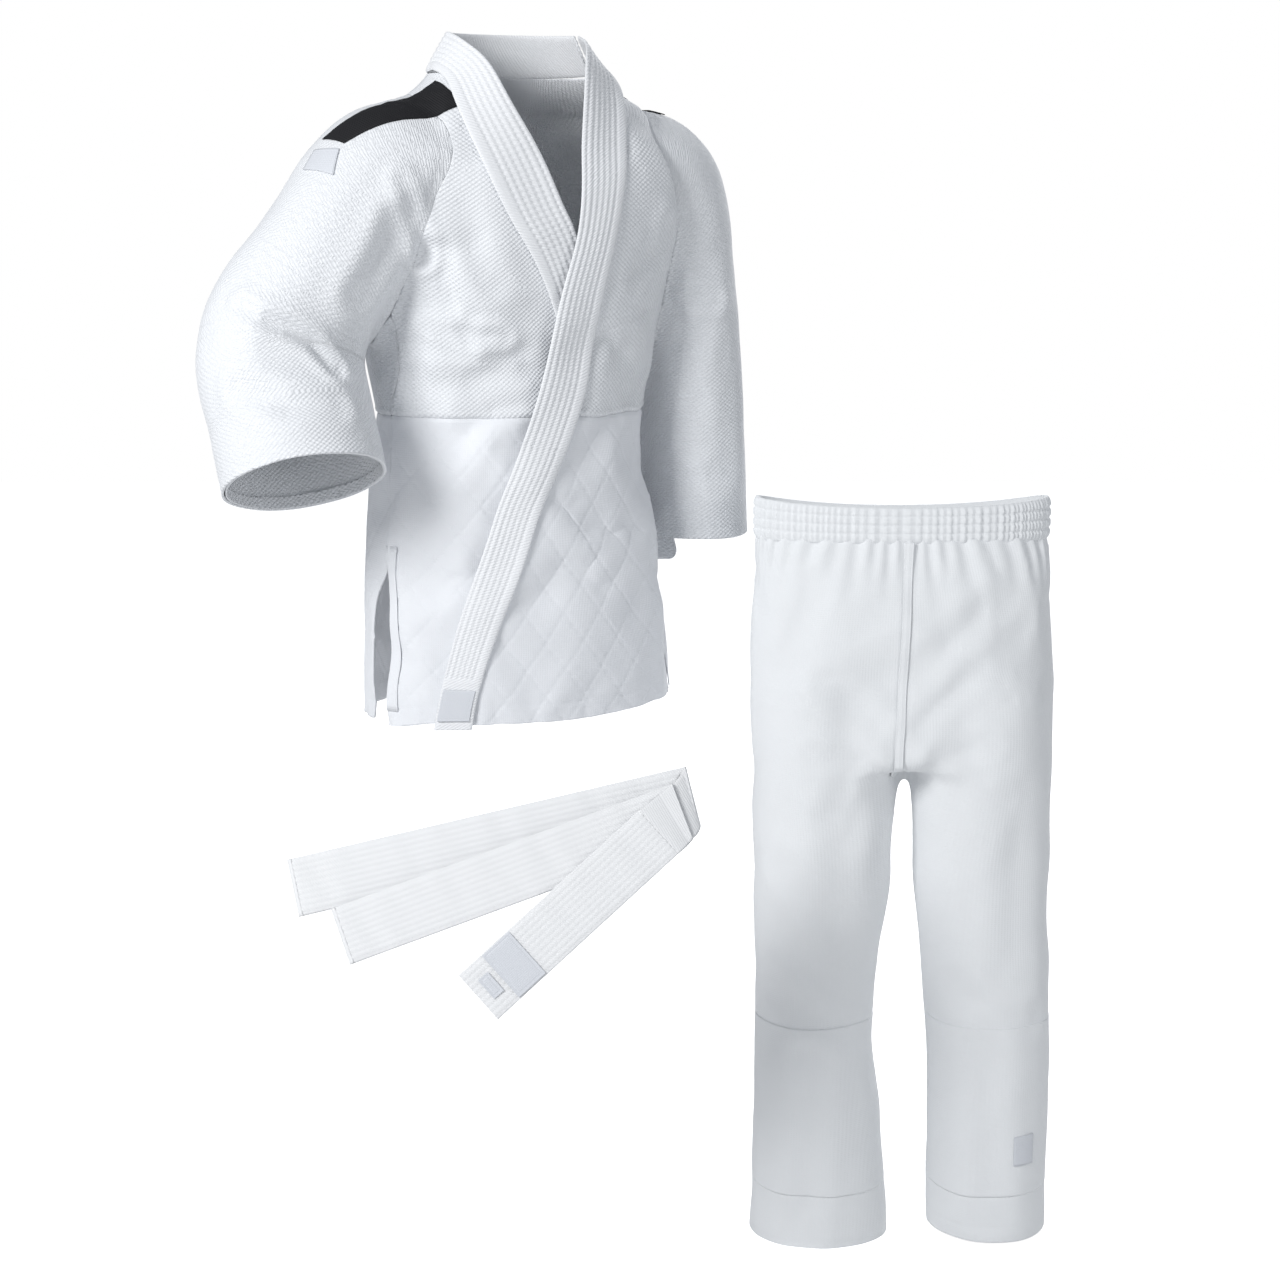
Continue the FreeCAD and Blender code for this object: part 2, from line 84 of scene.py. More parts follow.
raise_joint = JOINTS["right_sleeve_raise"]
JACKET = turned_frame(raise_joint["pos_m"], (-160, 0, 1200), raise_joint["axis"])
waist_low, waist_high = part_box("waistband_casing")
waist_middle = (waist_low + waist_high) / 2
TROUSERS = turned_frame((waist_middle.x, waist_middle.y, 0), (0, 0, 0), (0, 1, 0))
belt_mount = MOUNTS["belt_back_face"]
belt_out = -np.array(belt_mount["axis"], float)
belt_axes = np.stack([X_AXIS, np.cross(belt_out, X_AXIS), belt_out], axis=1)
BELT_MOUNT_UP = 86.0   # height of the mount in the belt's frame
BELT = Frame(np.array(belt_mount["pos_m"]) * 1000 - belt_axes @ (Y_AXIS * BELT_MOUNT_UP), belt_axes)


def level(node, top=True):
    """Height of a CAD node's top or bottom, in millimetres."""
    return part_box(node)[1 if top else 0].z * 1000


HEM = level("right_front_skirt", top=False)
WAIST = level("right_front_skirt") + 1
NECK = level("back_panel")
VENT = level("right_vent_facing")
TROUSER_TOP = level("waistband_casing")
CASING_BASE = level("waistband_casing", top=False)
CROTCH = level("right_thigh")
KNEE = level("right_shin") + 1


# ---------------------------------------------------------------- small helpers
def smooth(edge0, edge1, value):
    t = np.clip((value - edge0) / (edge1 - edge0), 0, 1)
    return t * t * (3 - 2 * t)


def curve_through(points, count):
    """Catmull-Rom curve through points of any dimension."""
    p = np.array(points, float)
    p = np.vstack([2 * p[0] - p[1], p, 2 * p[-1] - p[-2]])
    spans = len(p) - 3
    s = np.linspace(0, spans, count)
    k = np.minimum(s.astype(int), spans - 1)
    t = (s - k)[:, None]
    a, b, c, d = p[k], p[k + 1], p[k + 2], p[k + 3]
    bend, twist = 2 * a - 5 * b + 4 * c - d, 3 * b - a - 3 * c + d
    return 0.5 * (2 * b + (c - a) * t + bend * t ** 2 + twist * t ** 3)


def unit(v):
    return v / np.maximum(np.linalg.norm(v, axis=-1, keepdims=True), 1e-9)


def wave_noise(points, seed, wavelength, count=7):
    """Smooth pseudo-random field in -1..1, a sum of plane waves."""
    rng = np.random.default_rng(seed)
    total = np.zeros(len(points))
    for _ in range(count):
        direction = unit(rng.normal(size=points.shape[1]))
        scale = 2 * math.pi / (wavelength * rng.uniform(0.7, 1.5))
        total += np.sin(points @ direction * scale + rng.uniform(0, 2 * math.pi))
    return total / math.sqrt(count) / 1.4


def raw_mesh(name, points, faces):
    data = bpy.data.meshes.new(name)
    data.from_pydata([tuple(p) for p in points], [], [tuple(f) for f in faces])
    data.update()
    obj = bpy.data.objects.new(name, data)
    bpy.context.scene.collection.objects.link(obj)
    return obj


def read_vectors(items, field):
    """A vector property of every item of a mesh, as rows."""
    values = np.zeros(len(items) * 3, np.float32)
    items.foreach_get(field, values)
    return values.reshape(-1, 3).astype(float)


def evaluated(obj):
    """Vertices, faces and the flat attribute of an object with its modifiers applied."""
    graph = bpy.context.evaluated_depsgraph_get()
    mesh = bpy.data.meshes.new_from_object(obj.evaluated_get(graph))
    points = read_vectors(mesh.vertices, "co")
    faces = [list(p.vertices) for p in mesh.polygons]
    flat = read_vectors(mesh.attributes["flat"].data, "vector") if "flat" in mesh.attributes else None
    bpy.data.meshes.remove(mesh)
    return points, faces, flat


def vertex_normals(points, faces):
    mesh = bpy.data.meshes.new("normals")
    mesh.from_pydata(points.tolist(), [], faces)
    found = read_vectors(mesh.vertex_normals, "vector")
    bpy.data.meshes.remove(mesh)
    return found


def at(value, points):
    """A number, or a function of the points, as one value for each point."""
    return value(points) if callable(value) else np.full(len(points), float(value))


ON_CUT = 1e-3   # a point this close to a cut lies on it


class Sheet:
    """Cloth: where its points are now, where they were before it settled, and its faces."""

    def __init__(self, now, flat, faces):
        self.now, self.flat, self.faces = now, flat, faces

    def cut(self, field, keep_both=False, snap=0.25):
        """This sheet cut along the line where field(flat) is zero; only its positive side is kept."""
        now, flat = self.now.copy(), self.flat.copy()
        value = field(flat)
        pairs = np.array([(f[k - 1], f[k]) for f in self.faces for k in range(len(f))])
        pairs = np.unique(np.sort(pairs, axis=1), axis=0)
        a, b = pairs[value[pairs[:, 0]] * value[pairs[:, 1]] < 0].T
        share = value[a] / (value[a] - value[b])
        for near, far, part in ((a, b, share), (b, a, 1 - share)):
            close = part < snap
            n, f, t = near[close], far[close], part[close][:, None]
            now[n] = self.now[n] * (1 - t) + self.now[f] * t
            flat[n] = self.flat[n] * (1 - t) + self.flat[f] * t
            value[n] = 0
        a, b = pairs[value[pairs[:, 0]] * value[pairs[:, 1]] < 0].T
        t = (value[a] / (value[a] - value[b]))[:, None]
        fresh = {(int(i), int(j)): len(now) + n for n, (i, j) in enumerate(zip(a, b))}
        now = np.vstack([now, now[a] * (1 - t) + now[b] * t])
        flat = np.vstack([flat, flat[a] * (1 - t) + flat[b] * t])
        value = value.tolist()
        faces = []
        for face in self.faces:
            sides = [value[i] for i in face]
            if min(sides) >= 0 and max(sides) > 0:
                faces.append(face)
                continue
            if max(sides) <= 0:
                if keep_both:
                    faces.append(face)
                continue
            for sign in ((1, -1) if keep_both else (1,)):
                part = []
                for k, j in enumerate(face):
                    i = face[k - 1]
                    if value[i] * value[j] < 0:
                        part.append(fresh[min(i, j), max(i, j)])
                    if value[j] * sign >= 0:
                        part.append(j)
                if len(part) > 2:
                    faces.append(part)
        return Sheet(now, flat, faces).compact()

    def compact(self):
        used = np.unique(np.concatenate([np.array(f) for f in self.faces]))
        place = np.full(len(self.now), -1)
        place[used] = np.arange(len(used))
        place = place.tolist()
        return Sheet(self.now[used], self.flat[used], [[place[i] for i in f] for f in self.faces])

    def part(self, field):
        """The faces whose middle has a positive field, uncut."""
        value = field(self.flat).tolist()
        return Sheet(self.now, self.flat, [f for f in self.faces if sum(value[i] for i in f) > 0])

    def object(self):
        obj = raw_mesh("sheet", self.now, self.faces)
        attribute = obj.data.attributes.new("flat", "FLOAT_VECTOR", "POINT")
        attribute.data.foreach_set("vector", self.flat.astype(np.float32).ravel())
        return obj

    def modified(self, kind, **settings):
        obj = self.object()
        modifier = obj.modifiers.new(kind, kind)
        for key, value in settings.items():
            setattr(modifier, key, value)
        points, faces, flat = evaluated(obj)
        bpy.data.objects.remove(obj)
        return Sheet(points, flat, faces)

    def above(self, place, axis=2):
        """The part that lies above a level, or behind or to the left of a place with another axis.

        A place is a number or a function of the points, and so is a height.
        """
        return self.cut(lambda p: p[:, axis] - at(place, p))

    def below(self, place, axis=2):
        return self.cut(lambda p: at(place, p) - p[:, axis])

    def lifted(self, height):
        """Moved along its normals."""
        normal = vertex_normals(self.now, self.faces)
        return Sheet(self.now + normal * at(height, self.flat)[:, None], self.flat, self.faces)

    def cloth(self, relief, thickness):
        """Refined, with its seams and stitching pressed in, and given its thickness inwards."""
        fine = self.modified("SUBSURF", levels=2).lifted(relief)
        return fine.modified("SOLIDIFY", thickness=thickness, offset=-1.0)


def tube_volume(rings, close=True):
    """Closed mesh through a list of rings of points."""
    rings = np.array(rings, float)
    rows, around = rings.shape[:2]
    points = rings.reshape(-1, 3)
    faces = []
    for r in range(rows - 1):
        for k in range(around):
            n = (k + 1) % around
            faces.append([r * around + k, r * around + n, (r + 1) * around + n, (r + 1) * around + k])
    if close:
        faces.append(list(range(around))[::-1])
        faces.append([(rows - 1) * around + k for k in range(around)])
    return points, faces


def oval_ring(centre, across, along, half_across, half_along, count, power=2.0):
    """Points of a (super)ellipse in the plane of two directions."""
    angle = np.linspace(0, 2 * math.pi, count, endpoint=False)
    c, s = np.cos(angle), np.sin(angle)
    c, s = np.sign(c) * np.abs(c) ** (2 / power), np.sign(s) * np.abs(s) ** (2 / power)
    return centre + np.outer(c * half_across, across) + np.outer(s * half_along, along)


def union_skin(volumes, voxel, smoothing):
    """One skin round several closed volumes, as vertices and faces."""
    points, faces = [], []
    for volume_points, volume_faces in volumes:
        shift = sum(len(p) for p in points)
        points.append(volume_points)
        faces += [[i + shift for i in f] for f in volume_faces]
    obj = raw_mesh("volume", np.vstack(points), faces)
    remesh = obj.modifiers.new("remesh", "REMESH")
    remesh.mode = "VOXEL"
    remesh.voxel_size = voxel
    relax = obj.modifiers.new("relax", "SMOOTH")
    relax.factor = 0.5
    relax.iterations = smoothing
    points, faces, _ = evaluated(obj)
    bpy.data.objects.remove(obj)
    return points, faces


SPARE_LEAST, SPARE_MOST = 0.015, 0.22   # extra length of the cloth, where it is taut and where it is loose


def settle(points, faces, hold, loose, frames=24, bending=0.6):
    """Cloth simulation: the skin buckles under spare length, most where loose is 1; hold pulls it back."""
    obj = raw_mesh("cloth", points * 0.001, faces)
    for name, weights in (("hold", hold), ("loose", loose)):
        group = obj.vertex_groups.new(name=name)
        steps = np.round(weights, 2)
        for step in np.unique(steps):
            group.add([int(i) for i in np.nonzero(steps == step)[0]], float(step), "REPLACE")
    cloth = obj.modifiers.new("cloth", "CLOTH")
    s = cloth.settings
    s.quality = 6
    s.mass = 0.25
    s.tension_stiffness = s.compression_stiffness = 25
    s.shear_stiffness = 12
    s.bending_stiffness = bending
    s.tension_damping = s.compression_damping = s.shear_damping = 8
    s.air_damping = 4
    s.vertex_group_mass = "hold"
    s.pin_stiffness = 1.0
    s.vertex_group_shrink = "loose"
    s.shrink_min, s.shrink_max = -SPARE_LEAST, -SPARE_MOST
    s.effector_weights.gravity = 0.0
    cloth.collision_settings.use_collision = False
    scene = bpy.context.scene
    scene.frame_start = 1
    scene.frame_end = frames + 1
    cloth.point_cache.frame_start = 1
    cloth.point_cache.frame_end = frames + 1
    for step in range(1, frames + 1):
        scene.frame_set(step)
    settled, _, _ = evaluated(obj)
    bpy.data.objects.remove(obj)
    scene.frame_set(1)
    return settled * 1000


# ---------------------------------------------------------------- finished pieces
MATERIALS = {}


def finish(name, where, shape, material, nodes, ride=None, blend=None, normals=None):
    """A piece: its points, faces and weave, its cloth, the nodes that it stands for and its body."""
    points, faces, weave = shape
    obj = raw_mesh(name, where.out(points), faces)
    mesh = obj.data
    mesh.polygons.foreach_set("use_smooth", np.ones(len(mesh.polygons), bool))
    attribute = mesh.attributes.new("weave", "FLOAT_VECTOR", "POINT")
    flat = np.zeros((len(points), 3), np.float32)
    flat[:, :weave.shape[1]] = weave
    attribute.data.foreach_set("vector", flat.ravel())
    if normals is not None:
        mesh.normals_split_custom_set_from_vertices((normals @ where.axes.T).tolist())
    mesh.materials.append(MATERIALS[material])
    if nodes:
        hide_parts(*nodes)
    if blend:
        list(blend)
        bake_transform(obj)
    else:
        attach(obj, ride)
    return obj


def finish_parts(where, sheet, weave, material, parts):
    """Pieces that share one sheet, so that the lines between them don't show."""
    normals = vertex_normals(sheet.now, sheet.faces)
    for name, field, nodes, home in parts:
        piece = sheet.part(field) if field else sheet
        used = np.unique(np.concatenate([np.array(f) for f in piece.faces]))
        piece = piece.compact()
        home = {"ride": home} if isinstance(home, str) else {"blend": home}
        shape = (piece.now, piece.faces, weave(piece.flat))
        finish(name, where, shape, material, nodes, normals=normals[used], **home)


def band(a, b, out, thickness, ridges=None, across=32, crown=0.0):
    """A closed strip between two edge lines, with ridges on its face and rounded sides."""
    v = (1 - np.cos(np.linspace(0, math.pi, across))) / 2
    width = np.linalg.norm(b - a, axis=1)
    along = np.concatenate([[0], np.cumsum(np.linalg.norm(np.diff((a + b) / 2, axis=0), axis=1))])
    middle = a[:, None] * (1 - v)[None, :, None] + b[:, None] * v[None, :, None]
    round_off = np.sqrt(1 - np.abs(2 * v - 1) ** 10)
    swell = (4 * v * (1 - v))[None, :] * np.broadcast_to(crown, len(a))[:, None]
    grid = np.stack(np.broadcast_arrays(along[:, None], v[None, :] * width[:, None]), -1)
    pattern = 0 if ridges is None else ridges(grid[..., 0], grid[..., 1], width[:, None])
    face = swell + thickness * (0.5 + 0.5 * round_off) + pattern * round_off
    underside = swell + thickness * (0.5 - 0.5 * round_off)
    top = middle + out[:, None] * face[..., None]
    base = middle + out[:, None] * underside[..., None]
    rings = np.concatenate([top, base[:, ::-1]], axis=1)
    weave = np.concatenate([grid, grid[:, ::-1]], axis=1).reshape(-1, 2)
    points, faces = tube_volume(rings)
    if np.dot(np.cross(b[0] - a[0], (a + b)[1] - (a + b)[0]), out[0]) < 0:
        faces = [f[::-1] for f in faces]
    return points, faces, weave


def stitches(distance, along=None, depth=0.6, width=1.4, length=5.0):
    """A pressed-in row of stitches at distance zero."""
    row = -depth * np.exp(-(distance / width) ** 2)
    return row if along is None else row * (0.7 + 0.3 * np.sin(along * 2 * math.pi / length))


def crease(points, line, width, depth):
    """A fold that runs along a line of points: a valley with a rounded ridge beside it."""
    line = np.array(line, float)
    best = np.full(len(points), 1e9)
    for a, b in zip(line, line[1:]):
        t = np.clip(((points - a) @ (b - a)) / ((b - a) @ (b - a)), 0, 1)
        best = np.minimum(best, np.linalg.norm(points - a - t[:, None] * (b - a), axis=1))
    ends = np.minimum(*(np.linalg.norm(points - end, axis=1) for end in (line[0], line[-1])))
    fade = smooth(-width, width * 2.5, ends)
    ridge = 0.55 * np.exp(-((best - 2.1 * width) / width) ** 2)
    return fade * depth * (ridge - np.exp(-(best / width) ** 2))


class Surface:
    """A settled sheet that trims are laid on."""

    def __init__(self, sheet):
        self.tree = BVHTree.FromPolygons([Vector(p) for p in sheet.now], sheet.faces)

    def seen(self, origin, direction):
        """The first point of the cloth from origin in a direction, and its normal towards the origin."""
        spot, normal, _, _ = self.tree.ray_cast(Vector(origin), Vector(direction))
        if spot is None:
            raise RuntimeError("no cloth under a trim at %s" % (tuple(origin),))
        normal = np.array(normal)
        return np.array(spot), normal if normal @ np.array(direction) < 0 else -normal

    def from_front(self, x, z, reach=400):
        return self.seen((x, -reach, z), (0, 1, 0))


def evened(values, passes=2):
    """Values along a line, each pass averaging every one with its neighbours."""
    for _ in range(passes):
        inner = (values[:-2] + 2 * values[1:-1] + values[2:]) / 4
        values = np.concatenate([values[:1], inner, values[-1:]])
    return values


def strip_directions(a, b):
    """Outward directions of a strip between two edge lines, which starts facing the front."""
    out = unit(np.cross(b - a, np.gradient((a + b) / 2, axis=0)))
    return -out if out[0][1] > 0 else out


def level_lines(surface, rows, lift, count):
    """Edge lines, outward directions and rise between the edges, for a strip that lies on the cloth.

    A row is a pair of (x, level) points seen from the front, or of (x, y, level) points off the front.
    """
    stations = 4 * len(rows)
    place = np.linspace(0, len(rows) - 1, stations)
    on_front = sum(len(row[0]) == 2 for row in rows) - 1
    height = np.interp(place, np.arange(len(rows)), lift)

    def clear_of_cloth(point, k):
        """Backward position that keeps a point of station k above the cloth."""
        spot, normal = surface.from_front(point[0], point[2])
        return spot[1] + normal[1] * height[k]

    edges = []
    for side in (0, 1):
        marks = []
        for row, up in zip(rows, lift):
            point = np.array(row[side], float)
            if len(point) == 2:
                spot, normal = surface.from_front(*point)
                point = spot + normal * up
            marks.append(point)
        line = curve_through(marks, stations)
        for k in np.nonzero(place <= on_front)[0]:
            line[k, 1] = min(line[k, 1], clear_of_cloth(line[k], k))
        edges.append(evened(line))
    rise = np.zeros(stations)
    for k in np.nonzero(place <= on_front)[0]:
        middle = (edges[0][k] + edges[1][k]) / 2
        rise[k] = max(middle[1] - clear_of_cloth(middle, k), 0)
    a, b = (curve_through(line, count) for line in edges)
    return a, b, strip_directions(a, b), np.maximum(curve_through(evened(rise)[:, None], count)[:, 0], 0)


# ---------------------------------------------------------------- jacket: the skin under all its panels
COTTON = 2.4          # thickness of the jacket's cloth
LAPEL_THICK = 4.6
OVER = 9.5            # how far the left front lies above the right one
FLAP_HINGE = 100.0    # sideways place where the left front is cut into its side and its flap
QUILT = 50.0          # spacing of the skirt's quilting rows
PLAIN_END = 54.0      # length of the lapel's plain lower end
JOINT_LEVEL = {"right": 965.0, "left": 900.0}   # level of each elbow
SHOULDER_X = 168      # sideways place where a sleeve bends away from the shoulder
# where the cloth is pushed together: centre, spread and looseness
CRUMPLES = [((-190, -40, 960), 45, 0.6), ((-150, -30, 1040), 50, 0.6), ((160, -20, 1030), 45, 0.35)]
# torso ovals in the jacket's frame: level, sideways and backward centre, half width, half depth
TORSO = np.array([
    [HEM - 25, 0, 40, 170, 119], [HEM, 0, 40, 168, 118], [HEM + 150, -7, 41, 154, 113],
    [WAIST - 60, -16, 42, 143, 109], [WAIST, -14, 42, 141, 107], [WAIST + 60, -12, 39, 147, 108],
    [WAIST + 130, -10, 35, 160, 113],
    [WAIST + 190, -5, 22, 165, 106], [WAIST + 240, -4, 12, 160, 94], [NECK - 36, -8, 6, 140, 76],
    [NECK - 12, -14, 3, 108, 64], [NECK + 8, -15, 2, 88, 58], [NECK + 30, -15, 2, 80, 54],
])
# middle lines of the sleeves, and their half widths across and along the backward direction
RIGHT_ARM = [(-80, 4, 1150), (-150, 4, 1135), (-206, 6, 1058), (-258, 14, 968), (-259, -22, 892),
             (-256, -60, 816)]
RIGHT_RADII = [(58, 58), (66, 70), (72, 74), (80, 78), (80, 78), (80, 78)]
LEFT_ARM = [(80, 8, 1150), (150, 16, 1128), (184, 34, 1030), (198, 48, 905), (207, 52, 820), (214, 55, 728)]
LEFT_RADII = [(56, 60), (58, 68), (53, 72), (56, 74), (57, 74), (57, 75)]
ARM_STATIONS = 60
CUFF_HEM = 13         # height of the turned hem inside each cuff
# a point of each cuff and the direction that it faces
RIGHT_CUFF = (np.array([-256.0, -48.0, 842.0]), unit(np.array([0.0, -0.447, -0.894])))
LEFT_CUFF = (np.array([212.0, 54.0, 757.0]), unit(np.array([0.05, 0.03, -1.0])))


def torso_volume():
    rings = []
    for z, x, y, a, b in curve_through(TORSO, 70):
        rings.append(oval_ring((x, y, z), X_AXIS, Y_AXIS, a, b, 96, 2.15))
    return tube_volume(rings)


def arm_frame(path, radii):
    """Centre points, directions and radii of an arm."""
    centre = curve_through(path, ARM_STATIONS)
    return centre, unit(np.gradient(centre, axis=0)), curve_through(radii, ARM_STATIONS)


def arm_volume(path, radii):
    rings = []
    for centre, forward, (a, b) in zip(*arm_frame(path, radii)):
        along = unit(Y_AXIS - forward * forward[1])
        rings.append(oval_ring(centre, np.cross(along, forward), along, a, b, 64))
    return tube_volume(rings)


def arm_place(points, path, radii):
    """Nearest station of an arm, the offset from it and the distance along the arm, for each point."""
    centre, way, _ = arm_frame(path, radii)
    nearest = np.argmin(((points[:, None, :] - centre[None]) ** 2).sum(2), axis=1)
    away = points - centre[nearest]
    along = np.concatenate([[0], np.cumsum(np.linalg.norm(np.diff(centre, axis=0), axis=1))])
    return nearest, away, along[nearest] + (away * way[nearest]).sum(1)


def arm_depth(points, path, radii):
    """Height of points above an arm's surface."""
    nearest, away, _ = arm_place(points, path, radii)
    return np.linalg.norm(away, axis=1) - curve_through(radii, ARM_STATIONS)[nearest].mean(1)


def torso_depth(points):
    """Height of points above the torso's surface."""
    rows = curve_through(TORSO, 70)
    x, y, a, b = (np.interp(points[:, 2], rows[:, 0], rows[:, k]) for k in range(1, 5))
    ratio = np.hypot((points[:, 0] - x) / a, (points[:, 1] - y) / b)
    return (ratio - 1) * (a + b) / 2


def arm_field(points, path, radii):
    """Positive on an arm and negative on the torso; on the body's other side it is far below zero."""
    own_side = points[:, 0] * path[0][0] > 0
    return np.where(own_side, torso_depth(points) - arm_depth(points, path, radii), -50)


def right_arm_field(points):
    return arm_field(points, RIGHT_ARM, RIGHT_RADII)


def left_arm_field(points):
    return arm_field(points, LEFT_ARM, LEFT_RADII)


def side_line(points):
    """Backward position of the side seams: the right one leans forward towards the armpit."""
    right = np.interp(points[:, 2], [HEM, WAIST, WAIST + 176], [9, 3, -31])
    seam = np.where(points[:, 0] < 0, right, 10)
    return seam + (4 - seam) * smooth(WAIST + 190, WAIST + 250, points[:, 2])


def vent_gap(points, back=False):
    """How far a panel's edge stands away from the side seam below the top of its vent."""
    wide = np.where((points[:, 0] < 0) & back, 20, 6)
    return wide * smooth(VENT, VENT - 50, points[:, 2])


def hem_line(points):
    """Level of the jacket's hem: the front hangs a little higher than the back."""
    front = HEM + 8 * smooth(-165, -120, points[:, 0]) + 6 * smooth(40, 130, points[:, 0])
    return np.where(points[:, 1] < side_line(points), front, HEM + 2)


def along_line(line):
    """Field that is positive on the wearer's left of a line of (x, level) points."""
    levels, across = np.array(line)[:, 1], np.array(line)[:, 0]
    return lambda points: points[:, 0] - np.interp(points[:, 2], levels, across)


def over_height(points):
    """How far the left front lies above the right front: nothing at its side seam and shoulder."""
    x, y, z = points.T
    height = OVER * (1 - smooth(NECK - 96, NECK - 20, z)) * (1 - smooth(118, 150, x))
    return np.where(y < side_line(points), height, 0)


def jacket_skin():
    """The jacket as one skin: torso and both arms joined, before and after it settles as cloth."""
    points, faces = union_skin([torso_volume(), arm_volume(RIGHT_ARM, RIGHT_RADII),
                                arm_volume(LEFT_ARM, LEFT_RADII)], 8.5, 6)
    loose = np.zeros(len(points))
    for centre, spread, growth in CRUMPLES:
        loose += growth * np.exp(-((points - np.array(centre)) ** 2).sum(1) / (2 * spread ** 2))
    hold = 0.07 + 0.9 * smooth(NECK - 40, NECK, points[:, 2]) + 0.15 * smooth(HEM + 60, HEM, points[:, 2])
    start = points + wave_noise(points, 3, 60)[:, None] * 0.6
    return points, settle(start, faces, np.clip(hold, 0, 1), np.clip(loose, 0, 1)), faces


# lapel edges (seam edge, free edge) from the hem up: (x, level) on the front, (x, y, level) round the neck
LEFT_LAPEL = [
    ((-93, HEM + 3), (-124, HEM + 3)), ((-86, 622), (-118, 622)), ((-68, 683), (-101, 693)),
    ((-46, 743), (-82, 754)), ((-23, 802), (-62, 814)), ((3, 861), (-40, 873)), ((27, 921), (-21, 928)),
    ((36, 971), (-13, 972)), ((42, 1021), (-4, 1021)), ((54, 1079), (9, 1070)), ((65, 1128), (14, 1112)),
    ((71, 1157), (19, 1156)), ((79, -55, 1206), (27, -74, 1205)), ((78, -34, 1226), (35, -60, 1246)),
    ((75, -14, 1232), (46, -34, 1262)), ((73, 2, 1232), (52, -2, 1270)),
]
RIGHT_LAPEL = [
    ((41, HEM + 16), (87, HEM + 16)), ((30, 740), (76, 740)), ((19, 900), (65, 900)), ((-2, 990), (44, 990)),
    ((-31, 1051), (15, 1072)), ((-56, 1089), (-2, 1104)), ((-79, 1137), (-23, 1156)),
    ((-97, -57, 1194), (-48, -71, 1203)), ((-99, -34, 1222), (-62, -52, 1240)),
    ((-104, -14, 1232), (-78, -30, 1260)), ((-103, 2, 1232), (-82, -2, 1270)),
]
# lines under the lapels where the fronts end
LAPEL_MIDDLE_LEFT = [(-108, 560), (-108, 580), (-19, 867), (3, 924), (20, 1021), (32, 1075), (45, 1157),
                     (52, 1206), (58, 1280)]
LAPEL_MIDDLE_RIGHT = [(64, 560), (64, 582), (42, 900), (21, 990), (-8, 1061), (-51, 1146), (-72, 1198),
                      (-80, 1280)]


def fold_relief(points):
    """Soft unevenness, the larger folds and the armhole seams."""
    height = wave_noise(points, 11, 120) * 1.0 + wave_noise(points, 12, 50) * 0.3
    for arm, depth in ((right_arm_field, 0.5), (left_arm_field, 1.3)):
        edge = arm(points)
        height += stitches(edge, depth=depth, width=2.2) + stitches(edge - 8, depth=depth / 2)
    for line, width, depth in FOLDS:
        height += crease(points, line, width, depth)
    return height


def jacket_relief(points):
    """Seams, stitching, quilting and folds of the jacket's body, as height along its normals."""
    x, y, z = points.T
    side = side_line(points)
    round_front = np.arctan2(x, 40 - y) * 150
    height = fold_relief(points)
    waist = z - WAIST
    height += stitches(waist, depth=1.6, width=2.2) + stitches(waist - 7, round_front)
    height += 0.8 * np.exp(-(waist - 4) ** 2 / 12)
    on_side = (np.abs(x) > 100) & (z < WAIST + 190)
    seam = y - side
    seam_rows = stitches(seam - 6, z) + stitches(seam + 6, z)
    height += np.where(on_side, seam_rows + 0.7 * np.exp(-(seam / 6) ** 4), 0)
    skirt = smooth(WAIST - 6, WAIST - 16, z)
    for slope in (1, -1):
        run = (round_front + slope * z * 0.9) / QUILT
        line = (run - np.floor(run) - 0.5) * QUILT
        height += skirt * stitches(line, z, depth=0.75, width=2.3, length=8.5)
    height += stitches(z - hem_line(points) - 18, round_front)
    chest = np.interp(x, [20, 55, 94, 115, 150], [979, 985, 997, 1010, 1035])
    height += np.where((x > 20) & (y < side), stitches(z - chest, x, depth=0.9), 0)
    return height


# the larger folds: lines on the skin, with width and depth
FOLDS = [
    ([(-312, -40, 1013), (-297, -55, 1001), (-271, -62, 992), (-248, -64, 976), (-228, -70, 950)], 7, 5),
    ([(-160, -70, 1085), (-168, -66, 1066), (-185, -66, 1036), (-196, -65, 1020)], 12, 5),
    ([(-322, -62, 936), (-283, -90, 920), (-240, -88, 914)], 10, 4),
    ([(-158, -78, 1127), (-140, -66, 1085), (-132, -45, 1050)], 7, 5),
    ([(-117, -30, 985), (-90, -52, 977), (-60, -72, 973)], 7, 4),
    ([(-120, -50, 1055), (-108, -58, 1020), (-96, -60, 995)], 10, 4),
    ([(-134, -10, 925), (-86, -50, 930), (-40, -69, 948)], 12, 3.5),
    ([(-105, -72, 1125), (-92, -78, 1080), (-78, -78, 1030)], 13, 3),
    ([(123, -68, 1085), (135, -55, 1040), (108, -63, 1005), (100, -60, 960)], 9, 5),
    ([(150, -40, 1013), (168, -34, 1010), (186, -36, 1005)], 8, 4),
    ([(172, -20, 990), (176, -15, 930), (182, -10, 860)], 12, 3.5),
    ([(200, -20, 980), (205, -20, 900), (208, -20, 830)], 14, 3),
    ([(60, -95, 900), (95, -85, 840), (120, -75, 760)], 16, 3),
    ([(-60, -100, 870), (-75, -100, 800), (-90, -95, 720)], 18, 3),
    ([(30, -100, 850), (45, -105, 760), (50, -105, 680)], 20, 2.5),
]


def jacket_weave(points):
    x, y, z = points.T
    back = y > side_line(points)
    return np.stack([np.where(back, np.arctan2(x, y - 40), np.arctan2(x, 40 - y)) * 150, z], axis=1)


def arm_weave(path, radii):
    def weave(points):
        _, away, along = arm_place(points, path, radii)
        turn = np.arctan2(-away[:, 1], away[:, 0] * math.copysign(1, path[0][0]))
        return np.stack([turn * 75, along], axis=1)
    return weave


